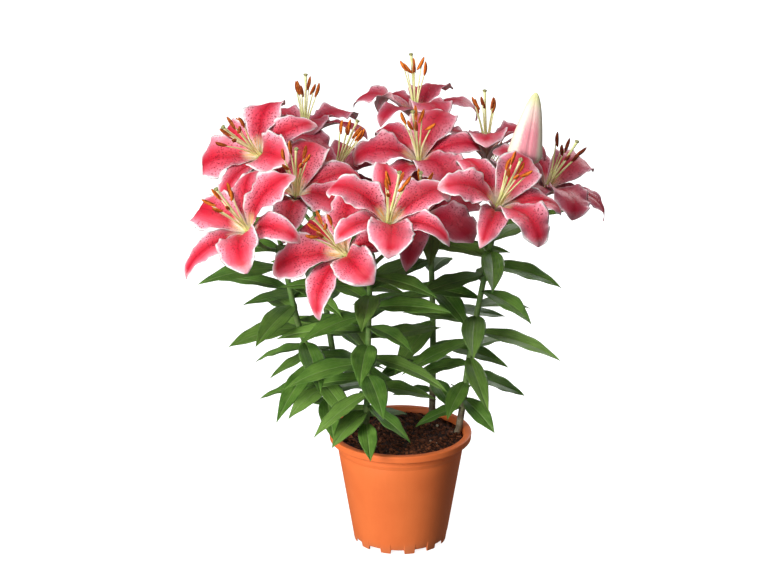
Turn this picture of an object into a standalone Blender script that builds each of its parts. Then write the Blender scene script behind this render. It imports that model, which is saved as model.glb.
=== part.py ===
"""Potted oriental lily: a nursery pot of soil with five bulbs, five leafy stems, fifteen blooms and a bud.

Metres, +Z up. The origin is on the pot's axis at the level of the floor that the pot stands on.
-Y is the front. Angles are in degrees unless a name ends in _rad.
"""
import math
import random

import bmesh
import bpy
from mathutils import Matrix, Vector
from mathutils.bvhtree import BVHTree

# Gap that touching pieces keep, and the room that a blade keeps from what it isn't joined to
GAP = 0.0003
ROOM = 0.0010

# Pot
POT_HEIGHT = 0.153
POT_STEPS = 32
RIM_RADIUS = 0.095
LIP_HEIGHT = 0.0098
LIP_ROUND = 0.0018
LIP_WIDTH = 0.0104
WALL = 0.0019
BAND_HEIGHT = 0.010
BAND_STEP = 0.0006
BASE_RADIUS = 0.0618
FLOOR_LEVEL = 0.0095
FLOOR_THICKNESS = 0.0022
FOOT_COUNT = 12
FOOT_ANGLE = -18.6
NOTCH_HEIGHT = 0.0055
NOTCH_ANGLE = 16.0
DRAIN_COUNT = 4
DRAIN_RADIUS = 0.0050
DRAIN_RING = 0.040

# Soil and bulbs
SOIL_LEVEL = 0.1455
SOIL_BUMP = 0.0022
SOIL_RINGS = 2
BULB_RADIUS = 0.0170
BULB_UP = 0.0170
BULB_DOWN = 0.0160
BULB_STEPS = 8
BULB_PLATE = 0.0058

# Stems
STEM_FOOT_RADIUS = 0.0046
STEM_TOP_RADIUS = 0.0036
HOLE_CLEARANCE = 0.0006
HOLE_LENGTH = 0.110
PEDICEL_RADIUS = 0.0029
STALK_NECK = 0.006
STALK_SPANS = 3

# Each stem: bulb centre, the point where it leaves the soil, then the points that it climbs through
STEMS = {
    "left": ((-0.047, -0.006, 0.066), (-0.076, -0.006, SOIL_LEVEL), (
        (-0.092, -0.006, 0.185), (-0.114, -0.012, 0.250), (-0.136, -0.022, 0.320), (-0.156, -0.036, 0.428))),
    "rear_left": ((-0.033, 0.032, 0.066), (-0.067, 0.030, SOIL_LEVEL), (
        (-0.080, 0.034, 0.190), (-0.092, 0.042, 0.260), (-0.102, 0.052, 0.335), (-0.114, 0.066, 0.440))),
    "centre": ((-0.022, -0.041, 0.066), (-0.042, -0.059, SOIL_LEVEL), (
        (-0.045, -0.068, 0.190), (-0.043, -0.074, 0.250), (-0.042, -0.080, 0.315), (-0.039, -0.088, 0.420))),
    "rear_right": ((0.026, 0.038, 0.066), (0.042, 0.061, SOIL_LEVEL), (
        (0.044, 0.070, 0.200), (0.044, 0.078, 0.270), (0.042, 0.086, 0.345), (0.038, 0.094, 0.448))),
    "right": ((0.047, -0.002, 0.066), (0.076, 0.010, SOIL_LEVEL), (
        (0.084, 0.014, 0.190), (0.092, 0.016, 0.255), (0.104, 0.016, 0.330), (0.124, 0.012, 0.440))),
}

# Blooms: name, root, azimuth (0 faces the front, plus turns towards +X), elevation, roll, stem,
# and how far below the stem's top the flower stalk leaves it
BLOOMS = (
    ("front", (-0.018, -0.152, 0.480), 18, 66, 9, "centre", 0.000),
    ("front_low", (-0.065, -0.146, 0.442), -40, 44, 18, "centre", 0.045),
    ("left_low", (-0.186, -0.134, 0.467), -44, 50, 345, "left", 0.040),
    ("right_front", (0.117, -0.105, 0.489), 35, 58, 46, "right", 0.045),
    ("left_front", (-0.134, -0.046, 0.486), 4, 62, 170, "left", 0.010),
    ("left_high", (-0.176, 0.020, 0.522), -42, 40, 20, "left", 0.000),
    ("centre", (0.024, 0.028, 0.509), -8, 66, 35, "rear_right", 0.030),
    ("inner", (0.024, -0.036, 0.452), 5, 60, 48, "centre", 0.020),
    ("right_high", (0.114, 0.092, 0.497), -174, 81, 0, "right", 0.000),
    ("far_right", (0.184, 0.026, 0.470), 60, 62, 30, "right", 0.025),
    ("mid_left", (-0.092, 0.034, 0.486), 74, 67, 0, "rear_left", 0.030),
    ("far_left", (-0.178, 0.102, 0.482), -156, 40, 30, "rear_left", 0.040),
    ("top_left", (-0.129, 0.148, 0.505), 166, 86, 10, "rear_left", 0.000),
    ("top_centre", (0.021, 0.150, 0.533), -135, 86, 30, "rear_right", 0.000),
    ("back", (0.098, 0.156, 0.424), 140, 42, 0, "rear_right", 0.040),
)
# How much further than the rest single tepals of a bloom bend back, by their number round it
TEPAL_BENDS = {
    "front": {1: -20, 2: -8, 3: -24, 4: -10, 5: -22},
    "left_high": {1: 24, 2: 44, 3: 24, 4: 8},
}
BUD_ROOT = Vector((0.156, -0.022, 0.534))
BUD_TIP = Vector((0.172, -0.020, 0.624))
BUD_RADIUS = 0.0225
BUD_WIDEST = 0.18
BUD_FOOT = 0.17
BUD_FULLNESS = 1.08
BUD_TAPER = 0.55
BUD_RIBS = 0.07
BUD_SEAT = 0.03
BUD_STEM = ("right", 0.010)

# Receptacle and the disc of the stamens
CUP_LOW_RADIUS = 0.0036
CUP_HIGH_RADIUS = 0.0058
CUP_HEIGHT = 0.0090
DISC_RADIUS = 0.0037
DISC_HEIGHT = 0.0022

# Tepals
INNER_LEVELS = (0.0, 0.13, 0.28, 0.44, 0.60, 0.75, 0.88, 1.0)
OUTER_LEVELS = (0.0, 0.14, 0.32, 0.52, 0.70, 0.86, 1.0)
TEPAL_THICKNESS = 0.0015
CLAW_THICKNESS = 0.0024
INNER_LENGTH = 0.108
OUTER_LENGTH = 0.112
INNER_WIDTH = 0.056
OUTER_WIDTH = 0.038
INNER_WAVE = 0.0058
OUTER_WAVE = 0.0034
INNER_START_ANGLE = 24.0
OUTER_START_ANGLE = 28.0
INNER_SPREAD = 90.0
OUTER_SPREAD = 102.0
CURL_ANGLE = 26.0
MIDLINE_STEPS = 48

# Stamens and pistil
FILAMENT_LENGTH = 0.070
FILAMENT_RADIUS = 0.0009
FILAMENT_RING = 0.0023
FILAMENT_LEAN = 11.0
ANTHER_LENGTH = 0.021
ANTHER_RADIUS = 0.0026
STYLE_LENGTH = 0.087
STYLE_RADIUS = 0.0012
STIGMA_RADIUS = 0.0038
STIGMA_HEIGHT = 0.0042

# Leaves
LEAF_LEVELS = (0.0, 0.08, 0.36, 0.68, 1.0)
LEAF_THICKNESS = 0.0018
LEAF_ROOT_BACK = 0.0004
LEAF_RISE = 0.74
LEAF_FALL = 1.12
LEAF_KEEL = 0.30
LEAF_LOWEST = 0.036
LEAF_LEAST_SIZE = 0.56
LEAF_FULL_SIZE_SHARE = 0.36
LEAF_LOW_SLOPE = -14.0
LEAF_TOP_SLOPE = 12.0
LEAF_LOW_DROOP = 24.0
LEAF_TOP_DROOP = 14.0
LEAF_COUNTS = {"left": 24, "rear_left": 18, "centre": 28, "rear_right": 17, "right": 23}
GOLDEN_ANGLE = 137.5
LEAF_TURN_TO_FRONT = 28.0


def make_collection(name):
    collection = bpy.data.collections.new(name)
    bpy.context.scene.collection.children.link(collection)
    return collection


def make_material(name, colour, roughness):
    material = bpy.data.materials.new(name)
    material.use_nodes = True
    shader = material.node_tree.nodes["Principled BSDF"]
    shader.inputs["Base Color"].default_value = (*colour, 1.0)
    shader.inputs["Roughness"].default_value = roughness
    shader.inputs["Metallic"].default_value = 0.0
    return material


def object_from(name, bm, collection, material=None):
    """A linked object from a bmesh, which is freed."""
    mesh = bpy.data.meshes.new(name)
    bm.to_mesh(mesh)
    bm.free()
    made = bpy.data.objects.new(name, mesh)
    collection.objects.link(made)
    if material:
        mesh.materials.append(material)
    return made


def make_cutter(made):
    made.hide_render = True
    made.display_type = "WIRE"
    return made


def add_screw(made, steps):
    screw = made.modifiers.new("turn", "SCREW")
    screw.axis = "Z"
    screw.steps = steps
    screw.render_steps = steps
    screw.use_merge_vertices = True
    screw.merge_threshold = 0.00005
    return screw


def profile_object(name, points, steps, collection, material=None):
    """A body turned from a profile of (radius, height) points at +X."""
    bm = bmesh.new()
    verts = [bm.verts.new((radius, 0.0, height)) for radius, height in points]
    for one, two in zip(verts, verts[1:]):
        bm.edges.new((one, two))
    made = object_from(name, bm, collection, material)
    add_screw(made, steps)
    return made


def cut_with(made, collection):
    cut = made.modifiers.new("cut", "BOOLEAN")
    cut.operation = "DIFFERENCE"
    cut.operand_type = "COLLECTION"
    cut.collection = collection
    cut.solver = "EXACT"


def apply_modifiers(made):
    """Replaces an object's mesh by the mesh that its modifiers give."""
    graph = bpy.context.evaluated_depsgraph_get()
    mesh = bpy.data.meshes.new_from_object(made.evaluated_get(graph))
    made.modifiers.clear()
    made.data = mesh


def join_union(made, shapes):
    """Joins the loose shapes of a collection to an object as one closed body."""
    union = made.modifiers.new("join", "BOOLEAN")
    union.operation = "UNION"
    union.operand_type = "COLLECTION"
    union.collection = shapes
    union.solver = "EXACT"
    bpy.context.view_layer.update()
    apply_modifiers(made)
    for loose in list(shapes.objects):
        bpy.data.objects.remove(loose)
    bpy.data.collections.remove(shapes)


def tube(name, points, radii, resolution, collection, material=None):
    """A closed mesh tube along the points; resolution 0, 1 and 2 give 4, 6 and 8 sides."""
    curve = bpy.data.curves.new(name, "CURVE")
    curve.dimensions = "3D"
    curve.bevel_depth = 1.0
    curve.bevel_resolution = resolution
    curve.use_fill_caps = True
    spline = curve.splines.new("POLY")
    spline.points.add(len(points) - 1)
    for knot, point, radius in zip(spline.points, points, radii):
        knot.co = (*point, 1.0)
        knot.radius = radius
    path = bpy.data.objects.new(name + "_path", curve)
    collection.objects.link(path)
    graph = bpy.context.evaluated_depsgraph_get()
    bm = bmesh.new()
    loose = bpy.data.meshes.new_from_object(path.evaluated_get(graph))
    bm.from_mesh(loose)
    bpy.data.meshes.remove(loose)
    bmesh.ops.remove_doubles(bm, verts=bm.verts, dist=0.00002)
    bmesh.ops.triangulate(bm, faces=bm.faces)
    bmesh.ops.recalc_face_normals(bm, faces=bm.faces)
    made = object_from(name, bm, collection, material)
    made.matrix_world = path.matrix_world
    bpy.data.objects.remove(path)
    bpy.data.curves.remove(curve)
    return made


def smooth_path(points, per_span):
    """Points of a Catmull-Rom curve through the given points."""
    knots = [Vector(point) for point in points]
    knots = [2 * knots[0] - knots[1], *knots, 2 * knots[-1] - knots[-2]]
    path = []
    for a, b, c, d in zip(knots, knots[1:], knots[2:], knots[3:]):
        for step in range(per_span):
            t = step / per_span
            path.append(0.5 * (2 * b + (c - a) * t + (2 * a - 5 * b + 4 * c - d) * t ** 2
                               + (3 * b - a - 3 * c + d) * t ** 3))
    path.append(knots[-2])
    return path


def bezier(start, start_pull, end_pull, end, spans):
    """Points along one cubic curve."""
    path = []
    for step in range(spans + 1):
        t = step / spans
        u = 1.0 - t
        path.append(start * u ** 3 + start_pull * 3 * u * u * t + end_pull * 3 * u * t * t + end * t ** 3)
    return path


def along(path, back):
    """The point a distance back from a path's end, and the path's direction there."""
    left = back
    for one, two in zip(reversed(path), list(reversed(path))[1:]):
        span = (one - two).length
        if left <= span:
            return one.lerp(two, left / span), (one - two).normalized()
        left -= span
    return path[0], (path[1] - path[0]).normalized()


class Crowd:
    """The shapes placed so far, to find room among them."""

    def __init__(self):
        self.shapes = []

    def add(self, bm, owner):
        low, high = box_of(bm)
        self.shapes.append((owner, low, high, BVHTree.FromBMesh(bm)))

    def crossings(self, bm, skip=()):
        """How many pairs of faces of the placed shapes a shape crosses."""
        low, high = box_of(bm)
        tree = None
        count = 0
        for owner, other_low, other_high, other in self.shapes:
            if owner in skip:
                continue
            if any(low[k] > other_high[k] or high[k] < other_low[k] for k in range(3)):
                continue
            tree = tree or BVHTree.FromBMesh(bm)
            count += len(tree.overlap(other))
        return count


def box_of(bm):
    low = [min(vert.co[k] for vert in bm.verts) for k in range(3)]
    high = [max(vert.co[k] for vert in bm.verts) for k in range(3)]
    return low, high


def add_object(crowd, made, owner, matrix=Matrix()):
    """Adds an object's shape, as its modifiers give it, to those already placed."""
    graph = bpy.context.evaluated_depsgraph_get()
    bm = bmesh.new()
    bm.from_object(made, graph)
    bm.transform(matrix)
    crowd.add(bm, owner)
    bm.free()


def blade(levels, surface):
    """A thin closed blade, lens-shaped in section, with sharp edges and a pointed tip.

    surface(s, t, side) gives a point for s from -1 to 1 across, t from 0 at the root to 1 at the tip,
    and side 1 or -1 for the upper and lower face. levels are the t of its rows.
    """
    rows = len(levels) - 1
    bm = bmesh.new()
    bmesh.ops.create_grid(bm, x_segments=2, y_segments=rows, size=1.0)
    bmesh.ops.triangulate(bm, faces=bm.faces)
    for vert in bm.verts:
        vert.co.z = 1.0
    copy = bmesh.ops.duplicate(bm, geom=bm.verts[:] + bm.edges[:] + bm.faces[:])["geom"]
    lower = [item for item in copy if isinstance(item, bmesh.types.BMVert)]
    for vert in lower:
        vert.co.z = -1.0
    bmesh.ops.reverse_faces(bm, faces=[item for item in copy if isinstance(item, bmesh.types.BMFace)])
    for vert in bm.verts:
        across, along_unit, side = vert.co
        vert.co = surface(across, levels[round(0.5 * (along_unit + 1.0) * rows)], side)
    bmesh.ops.remove_doubles(bm, verts=bm.verts, dist=0.00002)
    bmesh.ops.holes_fill(bm, edges=[edge for edge in bm.edges if edge.is_boundary])
    bmesh.ops.triangulate(bm, faces=bm.faces)
    bmesh.ops.recalc_face_normals(bm, faces=bm.faces)
    return bm


def integrate(length, angle_at):
    """Distances out and up along a midline whose angle from straight up is angle_at(t)."""
    outs = [0.0]
    ups = [0.0]
    step = length / MIDLINE_STEPS
    for k in range(MIDLINE_STEPS):
        angle = math.radians(angle_at((k + 0.5) / MIDLINE_STEPS))
        outs.append(outs[-1] + step * math.sin(angle))
        ups.append(ups[-1] + step * math.cos(angle))
    return outs, ups


def tepal_surface(kind, look, bend, turn, shorten, grow=0.0):
    """The surface of one tepal in its bloom's frame, +Z out of the throat."""
    inner = kind == "inner"
    length = look["length"] * shorten + grow
    width = (INNER_WIDTH if inner else OUTER_WIDTH) * look["wide"]
    start_angle = INNER_START_ANGLE if inner else OUTER_START_ANGLE
    spread = (INNER_SPREAD if inner else OUTER_SPREAD) + look["spread"] + bend
    curl = CURL_ANGLE + look["curl"]
    root_out = 0.0012 if inner else 0.0016
    root_up = 0.0042 if inner else 0.0012
    outs, ups = integrate(length, lambda t: start_angle + spread * t + curl * t ** 4)
    turn_rad = math.radians(look["around"] + turn)
    rise, fall = (1.50, 0.92) if inner else (1.05, 0.95)
    widest = rise / (rise + fall)
    peak = widest ** rise * (1.0 - widest) ** fall

    def surface(s, t, side):
        place = min(t * MIDLINE_STEPS, MIDLINE_STEPS - 1e-6)
        k = int(place)
        part = place - k
        out = root_out + outs[k] + (outs[k + 1] - outs[k]) * part
        up = root_up + ups[k] + (ups[k + 1] - ups[k]) * part
        angle = math.radians(start_angle + spread * t + curl * t ** 4)
        half = 0.5 * width * t ** rise * (1.0 - t) ** fall / peak
        half += 0.0026 * min(1.0, 20.0 * t) * (1.0 - t)
        if 0.0 < t < 1.0:
            half += grow
        thick = TEPAL_THICKNESS + (CLAW_THICKNESS - TEPAL_THICKNESS) * max(0.0, 1.0 - t / 0.3)
        thick *= min(1.0, 20.0 * t) * (1.0 - t ** 6)
        # Near the throat the section wraps round the bloom's axis, and further out it lies flat
        wrap = out / max(math.cos(angle), 0.12) * (0.94 if inner else 1.06)
        across = wrap * math.sin(half * s / wrap)
        lift = wrap * (1.0 - math.cos(half * s / wrap))
        ease = min(1.0, max(0.0, (t - 0.18) / 0.30))
        wave = look["wave"] * ease * math.sin(math.pi * t) ** 0.6 * math.sin(
            2.0 * math.pi * (look["waves"] * t + look["phase"] + 0.31 * (s > 0)))
        lift += (0.10 - 0.24 * t * t) * ease * half * s * s + wave * abs(s) ** 2.5
        lift += side * (0.5 * thick + grow * (t > 0.0)) * math.sqrt(max(0.0, 1.0 - s * s))
        across += look["sway"] * length * t * t
        out -= math.cos(angle) * lift
        up += math.sin(angle) * lift
        return Vector((
            out * math.cos(turn_rad) - across * math.sin(turn_rad),
            out * math.sin(turn_rad) + across * math.cos(turn_rad), up))

    return surface


def tepal_looks(name, rng):
    """The six tepals of a bloom by turns, first an inner one, then an outer one."""
    bends = TEPAL_BENDS.get(name, {})
    looks = []
    for number in range(6):
        inner = number % 2 == 0
        look = {
            "around": 60.0 * number + rng.uniform(-5.0, 5.0),
            "length": (INNER_LENGTH if inner else OUTER_LENGTH) * rng.uniform(0.94, 1.05),
            "wide": rng.uniform(0.92, 1.06),
            "spread": rng.uniform(-9.0, 9.0) + bends.get(number, 0),
            "curl": rng.uniform(-22.0, 30.0),
            "sway": rng.uniform(-0.07, 0.07),
            "wave": (INNER_WAVE if inner else OUTER_WAVE) * rng.uniform(0.8, 1.25),
            "waves": (2.2 if inner else 1.7) * rng.uniform(0.9, 1.1),
            "phase": rng.random(),
        }
        looks.append(("inner" if inner else "outer", look))
    return looks


def bloom_frame(root, azimuth, elevation, roll):
    """Matrix whose +Z is the way that a bloom faces and whose +X is its first tepal's side.

    At roll 0 the first tepal points as near to the front as it can, and a larger roll turns it
    towards +X.
    """
    turn_rad = math.radians(azimuth)
    rise_rad = math.radians(elevation)
    face = Vector((math.sin(turn_rad) * math.cos(rise_rad), -math.cos(turn_rad) * math.cos(rise_rad),
                   math.sin(rise_rad)))
    front = Vector((0.0, -1.0, 0.0))
    low = (front - face * front.dot(face)).normalized()
    side = face.cross(low)
    basis = Matrix((low, side, face)).transposed().to_4x4()
    return Matrix.Translation(root) @ basis @ Matrix.Rotation(math.radians(roll), 4, "Z")


def receptacle(share):
    """The lower share of the body that a bloom's tepals grow from."""
    bm = bmesh.new()
    top_radius = CUP_LOW_RADIUS + (CUP_HIGH_RADIUS - CUP_LOW_RADIUS) * share
    height = CUP_HEIGHT * share
    bmesh.ops.create_cone(bm, cap_ends=True, segments=6, radius1=CUP_LOW_RADIUS, radius2=top_radius,
                          depth=height, matrix=Matrix.Translation((0, 0, height / 2)))
    return bm


def make_stamens(name, rng, frame, parent_collection, material):
    """Six filaments with anthers, and the style with its stigma, on one small disc."""
    shapes = make_collection(name + "_shapes")
    level = CUP_HEIGHT + GAP
    bm = bmesh.new()
    bmesh.ops.create_cone(bm, cap_ends=True, segments=6, radius1=DISC_RADIUS * 0.85, radius2=DISC_RADIUS,
                          depth=DISC_HEIGHT, matrix=Matrix.Translation((0, 0, level + DISC_HEIGHT / 2)))
    bmesh.ops.rotate(bm, verts=bm.verts, matrix=Matrix.Rotation(math.radians(30), 3, "Z"))
    made = object_from(name, bm, parent_collection, material)
    up = Vector((0.0, 0.0, 1.0))
    for number in range(6):
        place = math.radians(60.0 * number + 30.0)
        start = Vector((math.cos(place), math.sin(place), 0.0)) * FILAMENT_RING
        start.z = level + DISC_HEIGHT * 0.6
        around = place + math.radians(rng.uniform(-9, 9))
        lean = math.radians(FILAMENT_LEAN + rng.uniform(-5, 6))
        outward = Vector((math.cos(around), math.sin(around), 0.0))
        reach = FILAMENT_LENGTH * rng.uniform(0.93, 1.04)
        end = start + (outward * math.sin(lean) + up * math.cos(lean)) * reach
        add_rod(start, end, FILAMENT_RADIUS, FILAMENT_RADIUS * 0.85, 3, shapes)
        tilt = lean + math.radians(rng.uniform(-6, 34))
        axis = outward * math.sin(tilt) + up * math.cos(tilt)
        out = outward * math.cos(tilt) - up * math.sin(tilt)
        add_anther(end, -out, axis, shapes)
    tip = Vector((rng.uniform(-0.004, 0.004), rng.uniform(-0.004, 0.004), level + STYLE_LENGTH))
    add_rod(Vector((0, 0, level + DISC_HEIGHT * 0.6)), tip, STYLE_RADIUS * 1.1, STYLE_RADIUS, 4, shapes)
    bm = bmesh.new()
    bmesh.ops.create_cone(bm, cap_ends=True, segments=6, radius1=STIGMA_RADIUS * 0.62, radius2=STIGMA_RADIUS,
                          depth=STIGMA_HEIGHT, matrix=Matrix.Translation(tip))
    object_from("stigma", bm, shapes)
    join_union(made, shapes)
    made.matrix_world = frame
    return made


def add_rod(start, end, start_radius, end_radius, sides, shapes):
    bm = bmesh.new()
    turn = (end - start).to_track_quat("Z", "Y").to_matrix().to_4x4()
    bmesh.ops.create_cone(bm, cap_ends=True, segments=sides, radius1=start_radius, radius2=end_radius,
                          depth=(end - start).length, matrix=Matrix.Translation((start + end) / 2) @ turn)
    object_from("rod", bm, shapes)


def add_anther(end, out, axis, shapes):
    """A spindle with four flat sides, one of them on the filament's end."""
    bm = bmesh.new()
    bmesh.ops.create_uvsphere(bm, u_segments=4, v_segments=3, radius=1.0)
    bmesh.ops.scale(bm, vec=(ANTHER_RADIUS, ANTHER_RADIUS, ANTHER_LENGTH / 2), verts=bm.verts)
    bmesh.ops.rotate(bm, verts=bm.verts, matrix=Matrix.Rotation(math.radians(45), 3, "Z"))
    side = axis.cross(out).normalized()
    turn = Matrix((side, axis.cross(side), axis)).transposed().to_4x4()
    bm.transform(Matrix.Translation(end + out * ANTHER_RADIUS * 0.25) @ turn)
    object_from("anther", bm, shapes)


# Ways to bend a tepal or leaf clear of its neighbours, the slightest first
def tepal_ways():
    ways = []
    for shorten in (1.0, 0.93, 0.86):
        for turn in (0, 7, -7, 13, -13):
            for bend in (0, 9, -9, 18, -18, 28, -28, 40, -38, 54, -48):
                cost = abs(bend) + 1.6 * abs(turn) + 260 * (1.0 - shorten)
                ways.append((cost, bend, turn, shorten))
    return sorted(ways)


def make_tepals(name, looks, frame, crowd, parent_collection, material):
    """A bloom's receptacle and its six tepals, each bent clear of what is already there."""
    shapes = make_collection(name + "_shapes")
    made = object_from(name, receptacle(1.0), parent_collection, material)
    own = Crowd()
    for number in (1, 3, 5, 0, 2, 4):
        kind, look = looks[number]
        levels = INNER_LEVELS if kind == "inner" else OUTER_LEVELS
        best = None
        for _, bend, turn, shorten in tepal_ways():
            trial = blade(levels[1:], tepal_surface(kind, look, bend, turn, shorten, ROOM))
            count = own.crossings(trial)
            trial.transform(frame)
            count += crowd.crossings(trial)
            trial.free()
            if best is None or count < best[0]:
                best = (count, bend, turn, shorten)
            if count == 0:
                break
        bend, turn, shorten = best[1:]
        surface = tepal_surface(kind, look, bend, turn, shorten)
        part = blade(levels[1:], surface)
        own.add(part, name)
        part.free()
        object_from("tepal", blade(levels, surface), shapes)
    for tepal in shapes.objects:
        add_object(crowd, tepal, name, frame)
    join_union(made, shapes)
    made.matrix_world = frame
    return made


def leaf_surface(look, bend, turn, grow=0.0):
    """The surface of one leaf about its own root, before it is moved to its place on the stem."""
    length = look["length"] + grow
    rise = look["rise"] - bend
    around_rad = math.radians(look["around"] + turn)
    outs, ups = integrate(length, lambda t: 90.0 - rise + look["droop"] * t ** 1.3)
    widest = LEAF_RISE / (LEAF_RISE + LEAF_FALL)
    peak = widest ** LEAF_RISE * (1.0 - widest) ** LEAF_FALL

    def surface(s, t, side):
        place = min(t * MIDLINE_STEPS, MIDLINE_STEPS - 1e-6)
        k = int(place)
        part = place - k
        out = outs[k] + (outs[k + 1] - outs[k]) * part - LEAF_ROOT_BACK
        up = ups[k] + (ups[k + 1] - ups[k]) * part
        angle = math.radians(90.0 - rise + look["droop"] * t ** 1.3)
        half = 0.5 * look["width"] * t ** LEAF_RISE * (1.0 - t) ** LEAF_FALL / peak
        if 0.0 < t < 1.0:
            half += grow
        lift = LEAF_KEEL * half * abs(s) * (1.0 - 0.5 * t)
        lift += look["wave"] * s * math.sin(2.0 * math.pi * (1.4 * t + look["phase"])) * math.sin(math.pi * t)
        thick = LEAF_THICKNESS * min(1.0, 12.0 * t) * (1.0 - t ** 6)
        lift += side * (0.5 * thick + grow * (t > 0.0)) * math.sqrt(max(0.0, 1.0 - s * s))
        across = half * s + look["sway"] * length * t * t
        twist = math.radians(look["twist"] * t ** 0.6)
        lift, across = lift * math.cos(twist) + across * math.sin(twist), (
            across * math.cos(twist) - lift * math.sin(twist))
        out -= math.cos(angle) * lift
        up += math.sin(angle) * lift
        return Vector((
            out * math.cos(around_rad) - across * math.sin(around_rad),
            out * math.sin(around_rad) + across * math.cos(around_rad), up))

    return surface


def leaf_ways():
    ways = []
    for turn in (0, 12, -12, 24, -24, 38, -38, 55, -55):
        for bend in (0, 10, -10, 20, -20, 32, -32, 46, -46):
            ways.append((abs(bend) + 0.7 * abs(turn), bend, turn))
    return sorted(ways)


def stem_path(name):
    bulb, foot, climb = STEMS[name]
    foot = Vector(foot)
    axis = (foot - Vector(bulb)).normalized()
    start = Vector(bulb) + axis * (BULB_UP + GAP)
    above = foot + axis * 0.006
    return axis, [start, *smooth_path((above, *climb), 2)]


def make_stem(name, blooms, collection, material):
    """A stem from its bulb's top to its own, with the stalks of its blooms, before its leaves."""
    axis, path = stem_path(name)
    total = len(path) - 1
    radii = []
    for k in range(len(path)):
        share = max(0, k - 1) / (total - 1)
        radii.append(STEM_FOOT_RADIUS + (STEM_TOP_RADIUS - STEM_FOOT_RADIUS) * share)
    node = "stem_" + name
    made = tube(node, path, radii, 1, collection, material)
    stalks = []
    for root, face, down in blooms:
        start, direction = along(path, down)
        reach = (root - start).length
        end = root - face * GAP
        neck = end - face * STALK_NECK
        route = bezier(start, start + direction * reach * 0.35, neck - face * reach * 0.3, neck, STALK_SPANS)
        stalks.append(tube("stalk", [*route, end], [PEDICEL_RADIUS] * len(route) + [PEDICEL_RADIUS * 1.1], 0,
                           collection))
    return made, path, stalks


def add_leaves(name, made, path, rng, crowd, stalks, collection):
    """Leaves up a stem in a spiral, each turned or bent clear of what is already there, then all joined.

    A leaf that finds no room is left out.
    """
    shapes = make_collection(name + "_leaves")
    for stalk in stalks:
        collection.objects.unlink(stalk)
        shapes.objects.link(stalk)
    length = sum((two - one).length for one, two in zip(path[1:], path[2:]))
    around = rng.uniform(0.0, 360.0)
    for number in range(LEAF_COUNTS[name]):
        share = number / (LEAF_COUNTS[name] - 1)
        back = (length - LEAF_LOWEST) * (1.0 - share) + 0.004
        root, direction = along(path, back)
        around += GOLDEN_ANGLE
        size = LEAF_LEAST_SIZE + (1.0 - LEAF_LEAST_SIZE) * min(1.0, share / LEAF_FULL_SIZE_SHARE)
        look = {
            "around": around + rng.uniform(-12, 12),
            "length": rng.uniform(0.104, 0.130) * size,
            "width": rng.uniform(0.028, 0.036) * (0.4 + 0.6 * size),
            "rise": LEAF_LOW_SLOPE + (LEAF_TOP_SLOPE - LEAF_LOW_SLOPE) * share + rng.uniform(-10, 10),
            "droop": LEAF_LOW_DROOP + (LEAF_TOP_DROOP - LEAF_LOW_DROOP) * share + rng.uniform(-12, 12),
            "wave": rng.uniform(0.0, 0.0018),
            "phase": rng.random(),
            "sway": rng.uniform(-0.10, 0.10),
            "twist": LEAF_TURN_TO_FRONT * math.cos(math.radians(around)) + rng.uniform(-14, 14),
        }
        best = None
        for _, bend, turn in leaf_ways():
            trial = blade(LEAF_LEVELS[1:], leaf_surface(look, bend, turn, ROOM))
            bmesh.ops.translate(trial, vec=root, verts=trial.verts)
            count = crowd.crossings(trial)
            trial.free()
            if count == 0:
                # A leaf's root may touch only its own stem, stalks and neighbours
                trial = blade(LEAF_LEVELS, leaf_surface(look, bend, turn, ROOM))
                bmesh.ops.translate(trial, vec=root, verts=trial.verts)
                count = crowd.crossings(trial, ("stem_" + name, "stalks_" + name, "leaves_" + name))
                trial.free()
            if best is None or count < best[0]:
                best = (count, bend, turn)
            if count == 0:
                break
        count, bend, turn = best
        if count:
            continue
        surface = leaf_surface(look, bend, turn)
        whole = blade(LEAF_LEVELS, surface)
        bmesh.ops.translate(whole, vec=root, verts=whole.verts)
        crowd.add(whole, "leaves_" + name)
        object_from("leaf", whole, shapes)
    join_union(made, shapes)


def pot_profile():
    top = POT_HEIGHT
    wall_top = RIM_RADIUS - LIP_WIDTH
    under_lip = top - LIP_HEIGHT
    band_low = under_lip - BAND_HEIGHT
    slope = (wall_top - BAND_STEP - BASE_RADIUS) / band_low

    def outer(height):
        return BASE_RADIUS + slope * height

    return (
        (0.0, FLOOR_LEVEL),
        (outer(FLOOR_LEVEL) - WALL, FLOOR_LEVEL),
        (outer(under_lip) - WALL, under_lip),
        (wall_top + WALL * 0.2, top),
        (RIM_RADIUS - LIP_ROUND, top),
        (RIM_RADIUS, top - LIP_ROUND),
        (RIM_RADIUS - LIP_ROUND * 0.4, under_lip),
        (wall_top + BAND_STEP * 0.5, under_lip),
        (outer(band_low) + BAND_STEP, band_low + BAND_STEP),
        (outer(band_low), band_low),
        (BASE_RADIUS, 0.0),
        (BASE_RADIUS - WALL, 0.0),
        (outer(FLOOR_LEVEL) - WALL * 1.1, FLOOR_LEVEL - FLOOR_THICKNESS),
        (0.0, FLOOR_LEVEL - FLOOR_THICKNESS),
    )


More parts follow.
